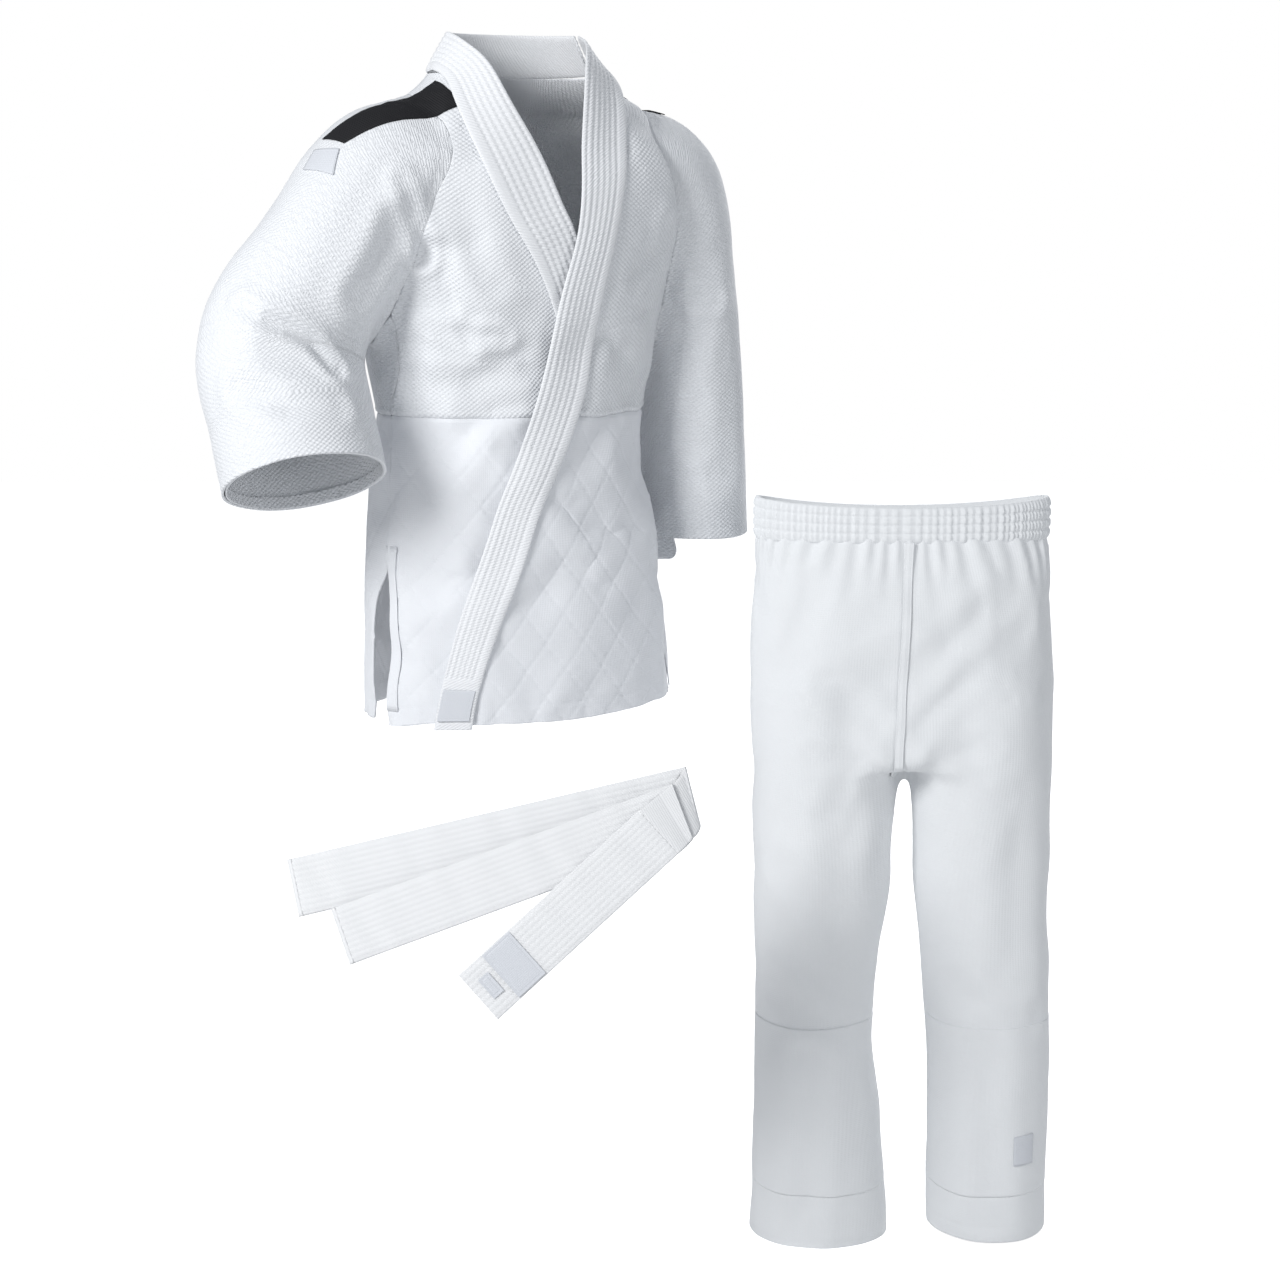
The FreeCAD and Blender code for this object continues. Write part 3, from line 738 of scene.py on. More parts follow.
def build_jacket():
    rest, settled, faces = jacket_skin()
    skin = Sheet(settled, rest, faces)
    folded = skin.lifted(fold_relief)
    surface = Surface(folded)
    arms = lambda p: np.maximum(right_arm_field(p), left_arm_field(p))
    body = lambda sheet: sheet.cut(lambda p: -arms(p)).below(NECK + 5)
    ahead = lambda sheet: sheet.below(lambda p: side_line(p) - vent_gap(p), axis=1)
    hinge = lambda p: p[:, 0] - FLAP_HINGE
    flap = ("jacket", "front_flap", JACKET.out([20, -90, 1140]), JACKET.out([20, -90, 975]))
    tail = ("jacket", "back_tail", JACKET.out([0, 150, VENT + 10]), JACKET.out([0, 150, VENT - 130]))
    right = ahead(body(skin)).cut(lambda p: -along_line(LAPEL_MIDDLE_RIGHT)(p))
    left = ahead(body(skin.lifted(over_height))).cut(along_line(LAPEL_MIDDLE_LEFT))
    left = left.cut(hinge, keep_both=True)
    back = body(skin).cut(lambda p: p[:, 1] - side_line(p) - vent_gap(p, back=True))

    def dress(sheet, material, parts):
        finish_parts(JACKET, sheet.cloth(jacket_relief, COTTON), jacket_weave, material, parts)

    def dress_skirt(sheet, parts):
        dress(sheet.below(WAIST).above(hem_line), "skirt_cloth", parts)

    dress(right.above(WAIST), "jacket_cloth", [("right_front", None, ["right_front_panel"], "jacket")])
    dress_skirt(right, [("right_skirt", None, ["right_front_skirt"], "jacket")])
    dress(left.above(WAIST), "jacket_cloth", [
        ("left_front_side", hinge, ["left_front_panel"], "jacket"),
        ("left_front_flap", lambda p: -hinge(p), ["left_front_flap"], flap)])
    dress_skirt(left, [
        ("left_skirt_side", hinge, ["left_side_skirt"], "jacket"),
        ("left_skirt_flap", lambda p: -hinge(p), ["left_front_skirt"], flap)])
    dress(back.above(WAIST), "jacket_cloth", [("back", None, ["back_panel"], "jacket")])
    dress_skirt(back, [("back_skirt", None, ["back_skirt"], tail)])
    arm_zone = build_sleeves(skin)
    build_lapels(surface, flap)
    build_trims(surface, arm_zone)
    build_small_trims(surface, Surface(folded.cut(lambda p: -arms(p))))


def build_sleeves(skin):
    """Both sleeves; returns where the right one bends away from the shoulder."""
    zones = {}
    for side, field, path, radii, (cuff, out) in (
            ("right", right_arm_field, RIGHT_ARM, RIGHT_RADII, RIGHT_CUFF),
            ("left", left_arm_field, LEFT_ARM, LEFT_RADII, LEFT_CUFF)):
        centre, way, _ = arm_frame(path, radii)
        elbow = min(range(ARM_STATIONS), key=lambda k: abs(centre[k][2] - JOINT_LEVEL[side]))
        shoulder = min(range(ARM_STATIONS), key=lambda k: abs(abs(centre[k][0]) - SHOULDER_X))
        halfway = (elbow + shoulder) // 2
        split = lambda p, h=halfway: (p - centre[h]) @ way[h]
        from_cuff = lambda p: -((p - cuff) @ out)
        upper, lower = side + "_upper_arm", side + "_lower_arm"
        bend_end = min(elbow + 9, ARM_STATIONS - 5)
        reach = [split(centre[k]) for k in (shoulder, bend_end)]
        zone = [JACKET.out(centre[halfway] + way[halfway] * d) for d in (reach[0], -2, 2, reach[1])]
        zones[side] = zone[:2]
        weave = arm_weave(path, radii)

        def relief(points):
            hem_row = stitches(from_cuff(points) - CUFF_HEM, weave(points)[:, 0], depth=0.8)
            return fold_relief(points) + hem_row

        arm = skin.cut(field).cut(from_cuff).cut(split, keep_both=True)
        finish_parts(JACKET, arm.cloth(relief, COTTON), weave, "jacket_cloth", [
            (side + "_sleeve_upper", lambda p: -split(p), [side + "_upper_sleeve"],
             ("jacket", upper, *zone[:2])),
            (side + "_sleeve_lower", split, [side + "_forearm_sleeve"], (upper, lower, *zone[2:]))])
        turned = skin.cut(field).cut(lambda p: from_cuff(p) - 0.5).cut(lambda p: CUFF_HEM - from_cuff(p))
        finish_parts(JACKET, turned.lifted(-COTTON - 0.3).cloth(0, 1.6), weave, "jacket_cloth",
                     [(side + "_cuff_fold", None, [side + "_cuff_hem"], lower)])
        build_underarm(skin, side, field)
    return zones["right"]


def build_underarm(skin, side, field):
    """A gusset behind the lower armhole."""
    top = {"right": 1055, "left": 1035}[side]
    sign = {"right": -1, "left": 1}[side]
    half_wide = 28
    seam = skin.flat[(np.abs(field(skin.flat)) < 5) & (skin.flat[:, 2] < top)]
    slope, _ = np.polyfit(seam[:, 2], seam[:, 0], 1)
    out = unit(np.array([sign, 0.0, -sign * slope]))
    middle = seam.mean(0)
    strip = skin.cut(lambda p: field(p) + half_wide).cut(lambda p: half_wide - field(p)).below(top)
    zone = [JACKET.out(middle + out * d) for d in (-8, 8)]
    finish_parts(JACKET, strip.lifted(-COTTON - 0.8).cloth(0, 1.2), jacket_weave, "jacket_cloth",
                 [(side + "_underarm_gusset", None, [], ("jacket", side + "_upper_arm", *zone))])


def lapel_ridges(along, across, width):
    """A flat margin by the seam edge, then five padded ridges between rows of stitches."""
    share = across / width
    height = np.zeros_like(across)
    for row in (0.24, 0.37, 0.5, 0.63, 0.76, 0.9):
        height += stitches(across - row * width, along, depth=1.5, width=1.6, length=6.0)
    height *= along > PLAIN_END
    height += stitches(along - PLAIN_END, across, depth=0.8) + stitches(along - 9, across, depth=0.8)
    height += 0.5 * np.sin(along / 37.0) * np.sin(across / 9.0)
    return height + stitches(along - 300, depth=1.2, width=1.6) * (share > 0)


def label_border(along, across, width):
    """A row of stitches just inside the edges of a label."""
    long = along.max()
    inset = np.minimum(np.minimum(across, width - across), np.minimum(along, long - along))
    return stitches(inset - 2.5, along + across, depth=0.5, width=0.9, length=4.0)


def build_lapels(surface, flap):
    left_rows, right_rows, collar_rows, front_rows = 420, 300, 520, 330
    lift = [OVER] * 10 + [OVER - 1, OVER - 3, 3, 1, 0, 0]
    a, b, out, crown = level_lines(surface, LEFT_LAPEL, lift, left_rows)
    finish("left_lapel", JACKET, band(a, b, out, LAPEL_THICK, lapel_ridges, 48, crown), "lapel_cloth",
           ["left_lapel_upper", "left_lapel_middle", "left_lapel_lower"], blend=flap)
    middle = (a + b) / 2
    rows = slice(*(np.argmin(np.abs(middle[:, 2] - HEM - rise)) for rise in (14, 48)))
    edge_a, edge_b = (a + (b - a) * share + out * (LAPEL_THICK + 0.5) for share in (0.1, 0.94))
    patch = band(edge_a[rows], edge_b[rows], out[rows], 0.9, label_border, 20, crown[rows])
    finish("lapel_patch", JACKET, patch, "label_cloth", ["lapel_patch"], blend=flap)
    # the right lapel goes on round the back of the neck and ends on the left one
    angle = np.linspace(0, math.pi, 40)[-2:0:-1]
    c, s = np.cos(angle), np.sin(angle)
    base = np.stack([-15 + 88 * c, 2 + 58 * s, 1232 - 2 * s], axis=1)
    top = np.stack([-15 + 67 * c, -2 + 52 * s, 1270 + 3 * s], axis=1)
    right_lift = [-2, -2, -1.5, -0.5] + [0.6] * 7
    right_a, right_b, _, right_crown = level_lines(surface, RIGHT_LAPEL, right_lift, right_rows)
    lines = (np.vstack([right_a, base, a[-1:]]), np.vstack([right_b, top, b[-1:]]))
    a, b = (curve_through(line[::4], collar_rows) for line in lines)
    place = np.arange(collar_rows)
    crown = np.interp(place, np.linspace(0, 380, right_rows), right_crown) * (place < front_rows)
    collar = band(a, b, strip_directions(a, b), LAPEL_THICK, lapel_ridges, 48, crown)
    finish("collar", JACKET, collar, "lapel_cloth", ["right_lapel", "neck_band"], ride="jacket")


def laid_patch(surface, name, corners, lift, thickness, material, nodes, count=(14, 10), **home):
    """A patch between four corners, each an (origin, direction) of a line of sight on to the cloth."""
    rows, columns = count
    grid = np.zeros((rows, columns, 3))
    out = np.zeros((rows, 3))
    for r, s in enumerate(np.linspace(0, 1, rows)):
        for c, t in enumerate(np.linspace(0, 1, columns)):
            weights = ((1 - s) * (1 - t), (1 - s) * t, s * (1 - t), s * t)
            origin = sum(w * np.array(k[0], float) for w, k in zip(weights, corners))
            direction = unit(sum(w * np.array(k[1], float) for w, k in zip(weights, corners)))
            spot, normal = surface.seen(origin, direction)
            grid[r, c] = spot + normal * lift
            out[r] += normal / columns
    out = unit(out)
    top = grid + out[:, None] * thickness
    rings = np.concatenate([top, grid[:, ::-1]], axis=1)
    points, faces = tube_volume(rings)
    middle = points.mean(0)
    face = faces[0]
    normal = np.cross(points[face[1]] - points[face[0]], points[face[2]] - points[face[0]])
    if normal @ out[0] < 0:
        faces = [f[::-1] for f in faces]
    weave = points[:, [0, 2]] - middle[[0, 2]]
    finish(name, JACKET, (points, faces, weave), material, nodes, **home)


def build_trims(surface, arm_zone):
    """Shoulder bands and the patch below the right one; each corner is a point on the cloth."""
    def sighted(ends, aim):
        return [(np.array(end) - aim * 120, aim) for end in ends]

    arm = ("jacket", "right_upper_arm", *arm_zone)
    corners = sighted(((-92, -57, 1204), (-106, -20, 1221), (-207, -40, 1165), (-218, -8, 1166)),
                      np.array([0.25, 0.55, -0.8]))
    laid_patch(surface, "right_shoulder_band", corners, 0.4, 1.0, "tape_cloth", ["right_shoulder_tape"],
               (60, 16), blend=arm)
    corners = [((x, y - 45, 1400), np.array([0.0, 0.25, -1.0]))
               for x, y in ((82, 14), (82, -14), (150, 16), (150, -10))]
    laid_patch(surface, "left_shoulder_band", corners, 0.4, 1.0, "tape_cloth", ["left_shoulder_tape"],
               (40, 12), ride="jacket")
    corners = sighted(((-229, -10, 1157), (-213, -39, 1158), (-239, -12, 1136), (-223, -50, 1133)),
                      np.array([0.72, 0.32, -0.6]))
    laid_patch(surface, "shoulder_patch", corners, 0.6, 0.9, "label_cloth", ["right_shoulder_patch"],
               (16, 16), blend=arm)


def edge_tape(surface, side, sign):
    """The tape along the front edge of a side vent."""
    rows = []
    normals = []
    for z in np.linspace(VENT + 12, HEM + 16, 24):
        probe = np.array([[sign * 160.0, 0.0, z]])
        edge = side_line(probe)[0] - vent_gap(probe)[0]
        found = [surface.seen((sign * 400, edge - shift, z), (-sign, 0, 0)) for shift in (0.5, 12)]
        rows.append([spot + normal * 0.6 for spot, normal in found])
        normals.append(found[0][1])
    a, b = evened(np.array(rows)[:, 0]), evened(np.array(rows)[:, 1])
    tape = band(a, b, unit(evened(np.array(normals), 4)), 1.2, None, 8)
    finish(side + "_vent_tape", JACKET, tape, "skirt_cloth", [side + "_vent_facing"], ride="jacket")


def build_small_trims(surface, torso_surface):
    for side, sign in (("right", -1), ("left", 1)):
        edge_tape(torso_surface, side, sign)
    corners = [((x, 10, z), Y_AXIS) for x, z in ((-34, 1222), (-6, 1222), (-34, 1202), (-6, 1202))]
    laid_patch(surface, "neck_label", corners, COTTON + 0.8, 0.8, "dark_label_cloth", ["neck_label"],
               ride="jacket")


# ---------------------------------------------------------------- trousers
LIGHT = 1.8           # thickness of the trousers' cloth
PATCH_TALL = 190.0    # height of the knee patches
GATHER_END = CASING_BASE - 75   # level where the gathers under the waistband run out
# hip ovals in the trousers' frame: level, sideways centre, half width, half depth
HIPS = [(CROTCH - 10, 5, 158, 70), (CROTCH + 40, 4, 159, 70), (650, 3, 158, 67),
        (CASING_BASE - 16, 1, 153, 52), (CASING_BASE, 0, 151, 48), (CASING_BASE + 14, 0, 150, 47)]
# middle lines of the legs, and their half widths and half depths
RIGHT_LEG = [(-78, 0, 620), (-78, 0, 543), (-77, 4, 420), (-85, 0, 258), (-80, 0, 120), (-76, 0, -24)]
LEFT_LEG = [(84, 0, 620), (89, 0, 543), (92, 4, 420), (103, 0, 258), (107, 0, 120), (109, 0, -6)]
RIGHT_LEG_SIZE = [(74, 68), (74, 70), (74, 65), (64, 61), (70, 61), (77, 62)]
LEFT_LEG_SIZE = [(74, 68), (74, 70), (73, 65), (67, 61), (65, 61), (64, 62)]
# the larger folds: lines on the skin, with width and depth
TROUSER_FOLDS = [
    ([(0, -70, 560), (30, -72, 600), (70, -72, 640)], 10, 2),
    ([(0, -70, 545), (-35, -72, 590), (-80, -72, 625)], 10, 2),
    ([(10, -70, 520), (40, -72, 545), (85, -72, 560)], 9, 1.6),
    ([(-15, -70, 515), (-45, -72, 540), (-90, -72, 550)], 9, 1.6),
    ([(20, -60, 640), (60, -62, 680), (95, -58, 705)], 12, 3),
    ([(-120, -55, 420), (-80, -66, 380), (-40, -60, 350)], 14, 2.5),
    ([(-130, -45, 300), (-90, -62, 268), (-45, -55, 250)], 12, 2.5),
    ([(60, -60, 300), (100, -62, 275), (140, -50, 262)], 12, 2.5),
    ([(-95, -64, 220), (-92, -64, 120), (-98, -64, 30)], 14, 3),
    ([(95, -64, 240), (100, -64, 140), (104, -64, 50)], 14, 2.5),
    ([(-60, -66, 480), (-66, -66, 380), (-64, -66, 290)], 16, 2.5),
    ([(120, -60, 500), (124, -60, 400), (120, -58, 310)], 16, 2.5),
]


def seam_x(z):
    """Sideways place of the front seam, which leans to the wearer's right on its way down."""
    return np.interp(z, [CROTCH, CASING_BASE], [-6, 3])


def trouser_hem(points):
    return np.where(points[:, 0] < 12, level("right_shin", top=False), level("left_shin", top=False))


def trouser_relief(points):
    x, y, z = points.T
    turn = np.arctan2(x, -y * 2.2) * 100
    height = wave_noise(points, 21, 110) * 1.2 + wave_noise(points, 22, 45) * 0.35
    gather = smooth(GATHER_END, CASING_BASE, z) ** 1.6
    pleats = np.sin(turn / 2.4 + 2.2 * np.sin(turn / 23)) + 0.6 * np.sin(turn / 5.3 + 1.7)
    height += gather * 1.5 * pleats
    seam = x - seam_x(z)
    front_seam = stitches(seam - 8, z) - 0.5 * np.exp(-(seam / 5) ** 2)
    height += np.where((y < 0) & (z > CROTCH - 10), front_seam, 0)
    hem = z - trouser_hem(points)
    height += stitches(hem - 16, turn, depth=0.7)
    leg_front = (z < CROTCH - 10) & (y < 0)
    legs = np.where(x < 6, x + 84, x - 100)
    height += np.where(leg_front, stitches(z - KNEE, legs, depth=0.35, width=1.8), 0)
    height += np.where(leg_front, stitches(z - KNEE + PATCH_TALL, legs, depth=0.7, width=1.6), 0)
    for line, width, depth in TROUSER_FOLDS:
        height += crease(points, line, width, depth)
    return height


def trouser_weave(points):
    return np.stack([np.arctan2(points[:, 0], -points[:, 1] * 2.2) * 100, points[:, 2]], axis=1)


def leg_volume(path, radii):
    rings = []
    for centre, (a, b) in zip(curve_through(path, 60), curve_through(radii, 60)):
        rings.append(oval_ring(centre, X_AXIS, Y_AXIS, a, b, 64, 2.1))
    return tube_volume(rings)


def both(*fields):
    """Positive where all the fields are, and just positive along their cuts, so that no face is lost."""
    def field(points):
        value = np.min([f(points) for f in fields], axis=0)
        return np.where(value > -ON_CUT, value + ON_CUT, value)
    return field


def trouser_skin():
    """The trousers as one skin, before and after they settle as cloth."""
    hips = [oval_ring((x, 0, z), X_AXIS, Y_AXIS, a, b, 96, 2.3) for z, x, a, b in curve_through(HIPS, 40)]
    rest, faces = union_skin([tube_volume(hips), leg_volume(RIGHT_LEG, RIGHT_LEG_SIZE),
                              leg_volume(LEFT_LEG, LEFT_LEG_SIZE)], 9.0, 5)
    hold = 0.05 + 0.9 * smooth(CASING_BASE - 30, CASING_BASE - 4, rest[:, 2])
    loose = 0.4 * np.exp(-((np.abs(rest[:, 0]) - 20) ** 2 + (rest[:, 2] - CROTCH - 20) ** 2) / 4000)
    start = rest + wave_noise(rest, 23, 70)[:, None] * 0.6
    return Sheet(settle(start, faces, np.clip(hold, 0, 1), loose, 20, 0.5), rest, faces)


def build_trousers():
    skin = trouser_skin()
    middle = lambda p: p[:, 0] - np.interp(p[:, 2], [0, KNEE, CROTCH - 40, CROTCH], [14, 6, 1, 0])
    body = skin.below(CASING_BASE + 2).above(trouser_hem).cut(middle, keep_both=True)
    hip_end, knee_split = CROTCH + 60, KNEE + 132
    above = lambda z: (lambda p: p[:, 2] - z)
    under = lambda z: (lambda p: z - p[:, 2])
    for limit in (hip_end, knee_split):
        body = body.cut(above(limit), keep_both=True)
    parts = []
    for side, sign in (("right", -1), ("left", 1)):
        own = lambda p, sign=sign: middle(p) * sign
        upper, lower = side + "_upper_leg", side + "_lower_leg"
        hip = ("trousers", upper, TROUSERS.out([0, 0, CROTCH - 40]),
               TROUSERS.out([sign * 40, 0, CROTCH - 125]))
        knee = (upper, lower, TROUSERS.out([0, 0, KNEE + 70]), TROUSERS.out([0, 0, KNEE - 70]))
        nodes = [side + "_hip_panel"] + (["crotch_gusset"] if side == "left" else [])
        parts += [(side + "_hip", both(own, above(hip_end)), nodes, "trousers"),
                  (side + "_thigh", both(own, under(hip_end), above(knee_split)), [side + "_thigh"], hip),
                  (side + "_leg", both(own, under(knee_split)), [side + "_shin"], knee)]
        leg = skin.cut(own).cut(lambda p: p[:, 2] - trouser_hem(p) - 0.5)
        turned = leg.below(lambda p: trouser_hem(p) + 16).lifted(-LIGHT - 0.3).cloth(0, 1.2)
        finish_parts(TROUSERS, turned, trouser_weave, "trouser_cloth",
                     [(side + "_hem_fold", None, [side + "_leg_hem"], lower)])
        patch = leg.below(KNEE - 2).cut(lambda p: p[:, 2] - KNEE + PATCH_TALL).below(-8, axis=1)
        finish_parts(TROUSERS, patch.lifted(0.5).cloth(trouser_relief, 1.2), trouser_weave, "trouser_cloth",
                     [(side + "_knee_patch", None, [side + "_knee_patch"], knee)])
    finish_parts(TROUSERS, body.cloth(trouser_relief, LIGHT), trouser_weave, "trouser_cloth", parts)
    build_waistband()
    build_trouser_trims(Surface(skin.lifted(trouser_relief)))


def build_waistband():
    """The elastic casing: fine upright ribs and three rows of shirring, with the elastic inside."""
    angle = np.linspace(0, 2 * math.pi, 720, endpoint=False)
    c, s = np.cos(angle), np.sin(angle)
    c, s = np.sign(c) * np.abs(c) ** 0.87, np.sign(s) * np.abs(s) ** 0.87
    dip = np.where(s < 0, -7, -16) * s * s
    ribs = np.sin(angle * 118 + 2.5 * np.sin(angle * 9)) + 0.5 * np.sin(angle * 61 + 1.3)

    def ring(t, grow, base=CASING_BASE):
        """The casing's outline at a share of its height, grown outwards."""
        z = base + t * (TROUSER_TOP - base + dip)
        return np.stack([c * (151 + grow), s * (47.5 + grow), z], axis=1)

    def finish_ring(name, rings, material, node):
        points, faces = tube_volume(np.array(rings + rings[:1])[::-1], close=False)
        weave = np.stack([np.tile(angle * 110, len(rings) + 1), points[:, 2]], axis=1)
        finish(name, TROUSERS, (points, faces, weave), material, [node], ride="trousers")

    rings = []
    for t in np.linspace(0, 1, 30):
        puff = 2.6 * (1 - (2 * t - 1) ** 6)
        shirring = sum(np.exp(-((t - row) / 0.035) ** 2) for row in (0.26, 0.5, 0.74))
        rib = 0.75 * (1.0 - 0.6 * shirring) * (1 - (2 * t - 1) ** 8)
        rings.append(ring(t, puff - 1.3 * shirring + ribs * rib, CASING_BASE - 2))
    rings += [ring(t, -3.5, CASING_BASE - 2) for t in (0.97, 0.5, 0.03)]
    finish_ring("waistband", rings, "trouser_cloth", "waistband_casing")
    rings = [ring(t, grow) for t, grow in ((0.15, -1.4), (0.85, -1.4), (0.85, -2.6), (0.15, -2.6))]
    finish_ring("waist_elastic", rings, "elastic", "waist_elastic")


def build_trouser_trims(surface):
    """The tape on the front seam and the patch on the left leg."""
    rows = [((seam_x(z) + 4.5, z), (seam_x(z) - 4.5, z))
            for z in np.linspace(CASING_BASE - 1, CROTCH - 26, 30)]
    a, b, out, _ = level_lines(surface, rows, [0.9] * len(rows), 160)
    def tape_rows(along, across, width):
        return stitches(across - 1.6, along) + stitches(across - width + 1.6, along)

    tape = band(a, b, out, 1.2, tape_rows, 12)
    finish("front_tape", TROUSERS, tape, "trouser_cloth", ["front_seam_tape"], ride="trousers")
    rows = [((127, z), (149, z)) for z in (126, 115, 104, 93)]
    a, b, out, crown = level_lines(surface, rows, [0.8] * 4, 12)
    patch = band(a, b, out, 0.9, None, 12, crown)
    finish("leg_patch", TROUSERS, patch, "label_cloth", ["leg_patch"], ride="left_lower_leg")


# ---------------------------------------------------------------- belt
BELT_WIDE, BELT_THICK = 54.0, 4.0
BELT_PITCH = 5.0      # height from one layer of the folded belt to the next
# middle lines of the five runs: start and end in the belt's own plane
BACK_RUN = ((-184, 43.5), (181, 129))
MIDDLE_RUN = ((-138, -1), (172, 113))
FRONT_RUN = ((-14.5, -57.5), (150, 93))
BELT_RUNS = [BACK_RUN, BACK_RUN, MIDDLE_RUN, MIDDLE_RUN, FRONT_RUN]
BELT_BODIES = ["belt_back", "belt_second", "belt_third", "belt_fourth", "belt_front"]


def belt_rows(along, across, width):
    """Ten rows of running stitches and the creases that folding has left across the belt."""
    height = np.zeros_like(across)
    for row in np.linspace(0.05, 0.95, 10):
        height += stitches(across - row * width, along, depth=0.55, width=1.2, length=6.5)
    both = np.stack([(along * 0.9 + across * 0.35).ravel(), (across * 0.3).ravel()], axis=1)
    return height + wave_noise(both, 31, 26).reshape(across.shape) * 0.45


def run_edges(ends, height, count):
    start, end = np.array(ends[0], float), np.array(ends[1], float)
    way = unit(end - start)
    side = np.array([-way[1], way[0]]) * BELT_WIDE / 2
    t = np.linspace(0, 1, count)[:, None]
    line = start + (end - start) * t
    z = np.full((count, 1), height)
    return np.hstack([line - side, z]), np.hstack([line + side, z]), way


def build_belt():
    count = 260
    edges = []
    for k, (ends, body) in enumerate(zip(BELT_RUNS, BELT_BODIES)):
        a, b, way = run_edges(ends, k * BELT_PITCH, count)
        edges.append((a, b, way))
        run = band(a, b, np.tile(Z_AXIS, (count, 1)), BELT_THICK, belt_rows, 84)
        name = "belt_run_%d" % (k + 1)
        finish(name + "_cloth", BELT, run, "belt_cloth", [name], ride=body)
    for k, (lower, upper) in enumerate(zip(edges, edges[1:])):
        build_belt_fold(k, lower, upper)
    a, b, way = edges[-1]
    middle = (a[0] + b[0]) / 2 + Z_AXIS * (BELT_THICK + 0.5)
    for name, centre, half, wide, node in (
            ("belt_label", 44, 16.5, 0.94, "belt_end_patch"),
            ("belt_size_label", 16, 6, 0.42, "belt_size_tab")):
        side = (b[0] - a[0]) / 2 * wide
        line = middle + np.append(way, 0) * np.linspace(centre - half, centre + half, 60)[:, None]
        label = band(line - side, line + side, np.tile(Z_AXIS, (60, 1)), 0.8, label_border, 60)
        finish(name, BELT, label, "label_cloth", [node], ride="belt_front")


def build_belt_fold(k, lower, upper):
    """The rounded fold that joins two runs at their shared end."""
    end = -1 if k % 2 else 0
    outward = np.append(unit(lower[2] + upper[2]) * (1 if k % 2 else -1), 0)
    across = 24
    low, high = k * BELT_PITCH, (k + 1) * BELT_PITCH
    rings = []
    for t in np.linspace(0, math.pi, 14):
        s = (1 - math.cos(t)) / 2
        flat_a, flat_b = (lower[edge][end] * (1 - s) + upper[edge][end] * s for edge in (0, 1))
        ring = []
        for reach, first, last, shares in (
                (4.6, low, high + BELT_THICK, np.linspace(0, 1, across)),
                (0.6, low + BELT_THICK, high, np.linspace(1, 0, across))):
            for v in shares:
                spot = flat_a * (1 - v) + flat_b * v + outward * math.sin(t) * reach
                spot[2] = first + (last - first) * s
                ring.append(spot)
        rings.append(ring)
    points, faces = tube_volume(rings)
    row, column = 7, across // 2
    outside = rings[row][column] - rings[row][column + across]
    face = points[faces[row * 2 * across + column]]
    if np.cross(face[1] - face[0], face[2] - face[0]) @ outside < 0:
        faces = [f[::-1] for f in faces]
    zone = [BELT.out([0, 0, height + BELT_THICK / 2]) for height in (low, high)]
    finish("belt_fold_%d" % (k + 1), BELT, (points, faces, points[:, :2]), "belt_cloth", [],
           blend=(BELT_BODIES[k], BELT_BODIES[k + 1], *zone))


# ---------------------------------------------------------------- materials
def cloth_material(name, colour, roughness, pattern, strength, sheen=0.2):
    """Cloth with a woven pattern: pattern is its kind and its sizes across and along in millimetres."""
    material = bpy.data.materials.new(name)
    material.use_nodes = True
    nodes, links = material.node_tree.nodes, material.node_tree.links
    shader = nodes["Principled BSDF"]
    for socket, value in (("Base Color", (*colour, 1)), ("Roughness", roughness),
                          ("Specular IOR Level", 0.25), ("Sheen Weight", sheen), ("Sheen Roughness", 0.5)):
        shader.inputs[socket].default_value = value
    place = nodes.new("ShaderNodeAttribute")
    place.attribute_name = "weave"
    split = nodes.new("ShaderNodeSeparateXYZ")
    links.new(place.outputs["Vector"], split.inputs[0])

    def maths(operation, a, b=None):
        node = nodes.new("ShaderNodeMath")
        node.operation = operation
        for socket, value in zip(node.inputs, (a, b)):
            if isinstance(value, (int, float)):
                socket.default_value = value
            elif value is not None:
                links.new(value, socket)
        return node.outputs[0]

    kind, across, along = pattern
    u = maths("MULTIPLY", split.outputs[0], math.pi / across)
    v = maths("MULTIPLY", split.outputs[1], math.pi / along)
    if kind == "twill":
        height = maths("SINE", maths("ADD", u, v))
    else:
        height = maths("MULTIPLY" if kind == "grain" else "ADD", maths("SINE", u), maths("SINE", v))
    cloud = nodes.new("ShaderNodeTexNoise")
    cloud.inputs["Scale"].default_value = 0.35
    cloud.inputs["Detail"].default_value = 3.0
    links.new(place.outputs["Vector"], cloud.inputs["Vector"])
    total = maths("ADD", height, maths("MULTIPLY", cloud.outputs[0], 1.2))
    bump = nodes.new("ShaderNodeBump")
    bump.inputs["Strength"].default_value = strength
    bump.inputs["Distance"].default_value = 0.0008
    links.new(total, bump.inputs["Height"])
    links.new(bump.outputs["Normal"], shader.inputs["Normal"])
    MATERIALS[name] = material


def build_materials():
    cloth_material("jacket_cloth", (0.80, 0.815, 0.84), 0.85, ("grain", 3.2, 2.2), 0.55)
    cloth_material("skirt_cloth", (0.80, 0.815, 0.845), 0.85, ("plain", 1.1, 1.1), 0.12)
    cloth_material("lapel_cloth", (0.83, 0.84, 0.86), 0.8, ("twill", 1.6, 2.6), 0.3)
    cloth_material("trouser_cloth", (0.80, 0.815, 0.83), 0.85, ("plain", 1.0, 1.0), 0.1)
    cloth_material("belt_cloth", (0.82, 0.825, 0.835), 0.55, ("twill", 1.2, 2.0), 0.25, 0.4)
    cloth_material("tape_cloth", (0.012, 0.012, 0.014), 0.7, ("twill", 1.6, 1.6), 0.3, 0.0)
    cloth_material("label_cloth", (0.66, 0.68, 0.72), 0.4, ("plain", 0.9, 0.9), 0.15)
    cloth_material("dark_label_cloth", (0.02, 0.02, 0.025), 0.5, ("plain", 0.9, 0.9), 0.15, 0.0)
    cloth_material("elastic", (0.75, 0.75, 0.72), 0.7, ("plain", 1.2, 3.0), 0.4)


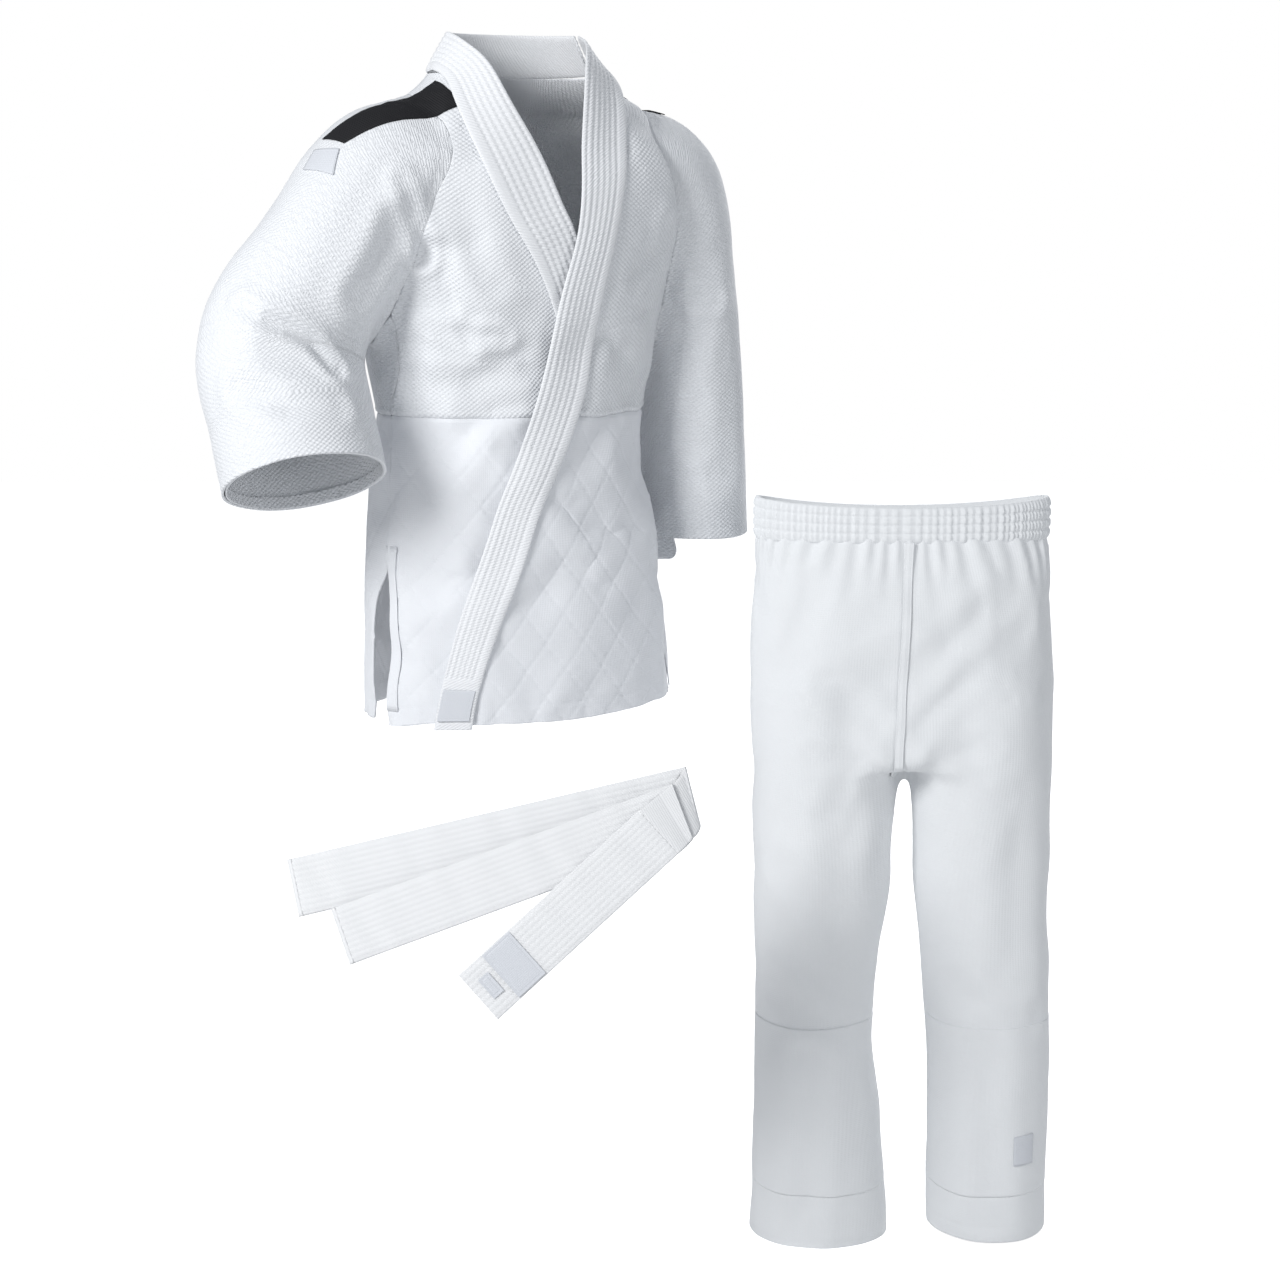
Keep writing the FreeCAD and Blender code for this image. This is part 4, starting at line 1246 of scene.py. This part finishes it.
# ---------------------------------------------------------------- studio
LENS = 64.07
CAMERA_PLACE = (-0.0056, -2.2674, 1.1)
CAMERA_AIM = (-0.0056, 0.0826, 0.655)
# area lights: name, place, size and power
LIGHTS = [("key", (-1.7, -1.9, 2.1), 0.9, 60), ("fill", (2.6, -1.8, 1.2), 1.6, 15),
          ("rim", (1.0, 2.2, 2.0), 1.4, 40)]


def build_studio():
    bpy.ops.mesh.primitive_plane_add(size=14, location=(0, 0, 0))
    floor = bpy.context.object
    floor.name = "floor"
    paper = bpy.data.materials.new("paper")
    paper.use_nodes = True
    nodes, links = paper.node_tree.nodes, paper.node_tree.links
    shader = nodes["Principled BSDF"]
    shader.inputs["Base Color"].default_value = (0.8, 0.8, 0.8, 1)
    shader.inputs["Roughness"].default_value = 0.9
    shader.inputs["Emission Color"].default_value = (1, 1, 1, 1)
    glow = nodes.new("ShaderNodeMath")
    glow.operation = "MULTIPLY"
    glow.inputs[1].default_value = 0.92
    links.new(nodes.new("ShaderNodeLightPath").outputs["Is Camera Ray"], glow.inputs[0])
    links.new(glow.outputs[0], shader.inputs["Emission Strength"])
    floor.data.materials.append(paper)
    middle = Vector((0, 0, 0.65))
    for name, place, size, power in LIGHTS:
        light = bpy.data.lights.new(name, "AREA")
        light.size = size
        light.energy = power
        lamp = bpy.data.objects.new(name, light)
        lamp.location = place
        lamp.rotation_euler = (middle - lamp.location).to_track_quat("-Z", "Y").to_euler()
        bpy.context.scene.collection.objects.link(lamp)
    world = bpy.data.worlds.new("studio")
    world.use_nodes = True
    nodes, links = world.node_tree.nodes, world.node_tree.links
    soft = nodes["Background"]
    soft.inputs[0].default_value = (0.88, 0.93, 1.0, 1)
    soft.inputs[1].default_value = 0.34
    white = nodes.new("ShaderNodeBackground")
    white.inputs[0].default_value = (1, 1, 1, 1)
    white.inputs[1].default_value = 1.0
    seen = nodes.new("ShaderNodeLightPath")
    mix = nodes.new("ShaderNodeMixShader")
    links.new(seen.outputs["Is Camera Ray"], mix.inputs[0])
    links.new(soft.outputs[0], mix.inputs[1])
    links.new(white.outputs[0], mix.inputs[2])
    links.new(mix.outputs[0], nodes["World Output"].inputs[0])
    bpy.context.scene.world = world
    bpy.context.scene.view_settings.view_transform = "Standard"   # keeps white cloth white
    view = bpy.data.cameras.new("camera")
    view.lens = LENS
    camera = bpy.data.objects.new("camera", view)
    camera.location = CAMERA_PLACE
    camera.rotation_euler = (Vector(CAMERA_AIM) - camera.location).to_track_quat("-Z", "Y").to_euler()
    bpy.context.scene.collection.objects.link(camera)
    bpy.context.scene.camera = camera


build_materials()
build_jacket()
build_trousers()
build_belt()
build_studio()
